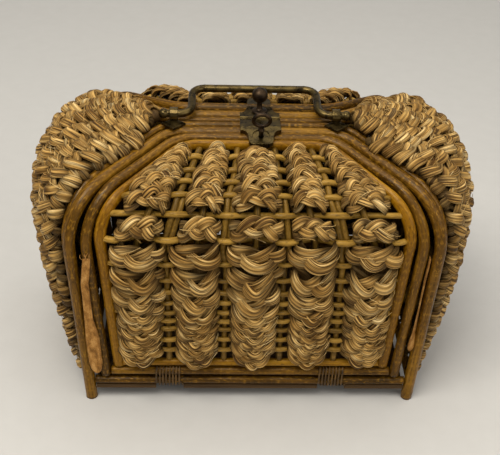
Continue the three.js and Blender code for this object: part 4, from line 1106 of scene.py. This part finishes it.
def left_strap():
    """The strap on the door hoop: narrow and a little twisted above, a stitched tongue below."""
    t, height, leg = down_leg(LEFT_STRAP_END, 120)
    way = (height - PANEL_FOOT[2]) / (PANEL_SHOULDER[2] - PANEL_FOOT[2])
    gap = PANEL_FOOT_GAP + (PANEL_SHOULDER_GAP - PANEL_FOOT_GAP) * way
    over = np.interp(t, [0, 0.2, 0.5, 0.62, 1], [1.0, 0.3, 0.1, 0.2, 0.12])
    x = -leg[:, 0] + HOOP_RADIUS + gap / 2 + over * (gap / 2 + PANEL_RADIUS)
    y = -leg[:, 1] - PANEL_RADIUS - MESH_GAP - 0.85 - 0.25 * np.sin(t * 9)
    wide = np.interp(t, [0, 0.06, 0.3, 0.52, 0.6, 0.68, 0.9, 0.96, 0.985, 1],
                     [5.2, 5.6, 5.4, 6.2, 8.4, 9.9, 9.6, 7.6, 5.0, 1.6])
    across, normal = strap_axes(0.28 * np.sin(t * math.pi * 1.6) * np.clip((0.62 - t) / 0.3, 0, 1))
    cup = np.interp(t, [0, 0.5, 0.7, 1], [0.35, 0.45, 0.12, 0.3])
    slit = np.where((t > 0.82) & (t < 0.93), 1.1, 0.0)
    shape = Shape()
    centre = np.stack([x, y, height], axis=1)
    rows = strip(shape, centre, across, normal, wide, LEFT_THICKNESS, cup, slit)
    strap = shape.build("strap_strip_left", LEATHER, "strap_left", "door")
    threads = Shape()
    for k in range(STITCHES):
        i = int((0.6 + k * 0.021) * (len(t) - 1))
        a, b = rows[i, -3], rows[min(i + 2, len(t) - 1), -2]
        threads.tube(np.array([a, (a + b) / 2, b]) + normal[i] * 0.65, THREAD_RADIUS, 6, 0.2, 0.35, start=0)
    for k in range(FRAYS):
        base = rows[1, 2 + 2 * k % 12]
        lift = np.linspace(0, 1, 9)[:, None]
        bend = np.array([draw(-2.5, 2.0), draw(-1.4, 0.2), draw(3.0, 6.5)])
        curl = np.array([draw(-1.5, 1.5), -0.8, 0.0])
        threads.tube(base + lift * bend + np.sin(lift * math.pi) * curl, FRAY_RADIUS, 6, 0.6, 0.7, start=0)
    stitches = threads.build("strap_stitches_left", LEATHER, body="door")


def right_strap():
    """The strap on the body: edge on in the gap beside the door, with its end curled up to the front."""
    t, height, leg = down_leg(RIGHT_STRAP_END, 110)
    across, normal = strap_axes(np.radians(np.interp(t, [0, 0.5, 0.78, 1], [84, 72, 60, 24])))
    wide = np.interp(t, [0, 0.06, 0.9, 0.97, 1], [4.5, 7.4, 7.2, 5.6, 1.8])
    inward = HOOP_RADIUS + 1.75 + 0.2 * np.sin(t * 8)
    forward = np.interp(t, [0, 0.6, 1], [0.0, 1.0, 3.4])
    shape = Shape()
    centre = np.stack([leg[:, 0] - inward, -leg[:, 1] - forward, height], axis=1)
    cup = np.full_like(t, 0.2)
    strip(shape, centre, across, normal, wide, RIGHT_THICKNESS, cup, np.zeros_like(t))
    strap = shape.build("strap_strip_right", LEATHER, "strap_right")


left_strap()
right_strap()


# Pieces of the frame that stay, with their new materials
for name in ("lock_case", "hasp", "lock_rear_plate", "handle_ear_left", "handle_ear_right", "bottom_board"):
    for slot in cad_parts[name].material_slots:
        slot.material = BOARD if name == "bottom_board" else BRONZE


# Camera, fitted to the photo
CAMERA_DOWN = math.radians(33.745)
CAMERA_ASIDE = math.radians(-2.521)
CAMERA_ROLL = math.radians(1.965)
CAMERA_DISTANCE = 0.716157
CAMERA_TARGET = (-0.002565, -0.040, 0.127297)

camera_data = bpy.data.cameras.new("camera")
camera = show("camera", camera_data)
bpy.context.scene.camera = camera
camera_data.sensor_width = 36.0
camera_data.lens = 72.0
camera_data.clip_start = 0.05
camera_data.clip_end = 20.0
camera.matrix_world = (
    Matrix.Translation(CAMERA_TARGET)
    @ Matrix.Rotation(CAMERA_ASIDE, 4, "Z")
    @ Matrix.Rotation(math.pi / 2 - CAMERA_DOWN, 4, "X")
    @ Matrix.Rotation(CAMERA_ROLL, 4, "Z")
    @ Matrix.Translation((0, 0, CAMERA_DISTANCE))
)


# Floor and light
FLOOR_HALF = 4.0
FLOOR_DROP = 0.0003
LIGHT_AIM = (0, 0, 0.1)
WORLD_LIGHT = 0.36

paper = Nodes("floor_paper")
speckle = paper.noise(paper.place(60, 60, 60), rough=0.6)
paper_colour = paper.ramp(speckle, [(0.2, (187, 185, 180)), (0.8, (191, 189, 184))])
floor_mesh = bpy.data.meshes.new("floor")
floor_corners = [(x * FLOOR_HALF, y * FLOOR_HALF, 0) for x, y in ((-1, -1), (1, -1), (1, 1), (-1, 1))]
floor_mesh.from_pydata(floor_corners, [], [(0, 1, 2, 3)])
floor_mesh.materials.append(paper.finish(paper_colour, 0.85))
floor_object = show("floor", floor_mesh)
floor_object.location = (0, 0, -FLOOR_DROP)

# Name, place, size, power and colour of each light
for name, place, size, power, colour in (
    ("key_light", (-0.42, -0.6, 1.4), (0.9, 0.7), 21.0, (1.0, 0.96, 0.9)),
    ("fill_light", (0.9, -0.9, 0.9), (1.2, 1.2), 7.5, (1.0, 0.97, 0.93)),
    ("top_light", (0.1, 0.3, 1.5), (1.4, 0.9), 8.3, (1.0, 0.98, 0.95)),
):
    light_data = bpy.data.lights.new(name, "AREA")
    light_data.shape = "RECTANGLE"
    light_data.size, light_data.size_y = size
    light_data.energy = power
    light_data.color = colour
    light = show(name, light_data)
    light.location = place
    light.rotation_mode = "QUATERNION"
    light.rotation_quaternion = (Vector(LIGHT_AIM) - Vector(place)).to_track_quat("-Z", "Y")
world = bpy.data.worlds.new("studio")
bpy.context.scene.world = world
world.use_nodes = True
background = world.node_tree.nodes["Background"]
background.inputs["Color"].default_value = (1.0, 0.985, 0.96, 1)
background.inputs["Strength"].default_value = WORLD_LIGHT
bpy.context.scene.view_settings.view_transform = "Standard"
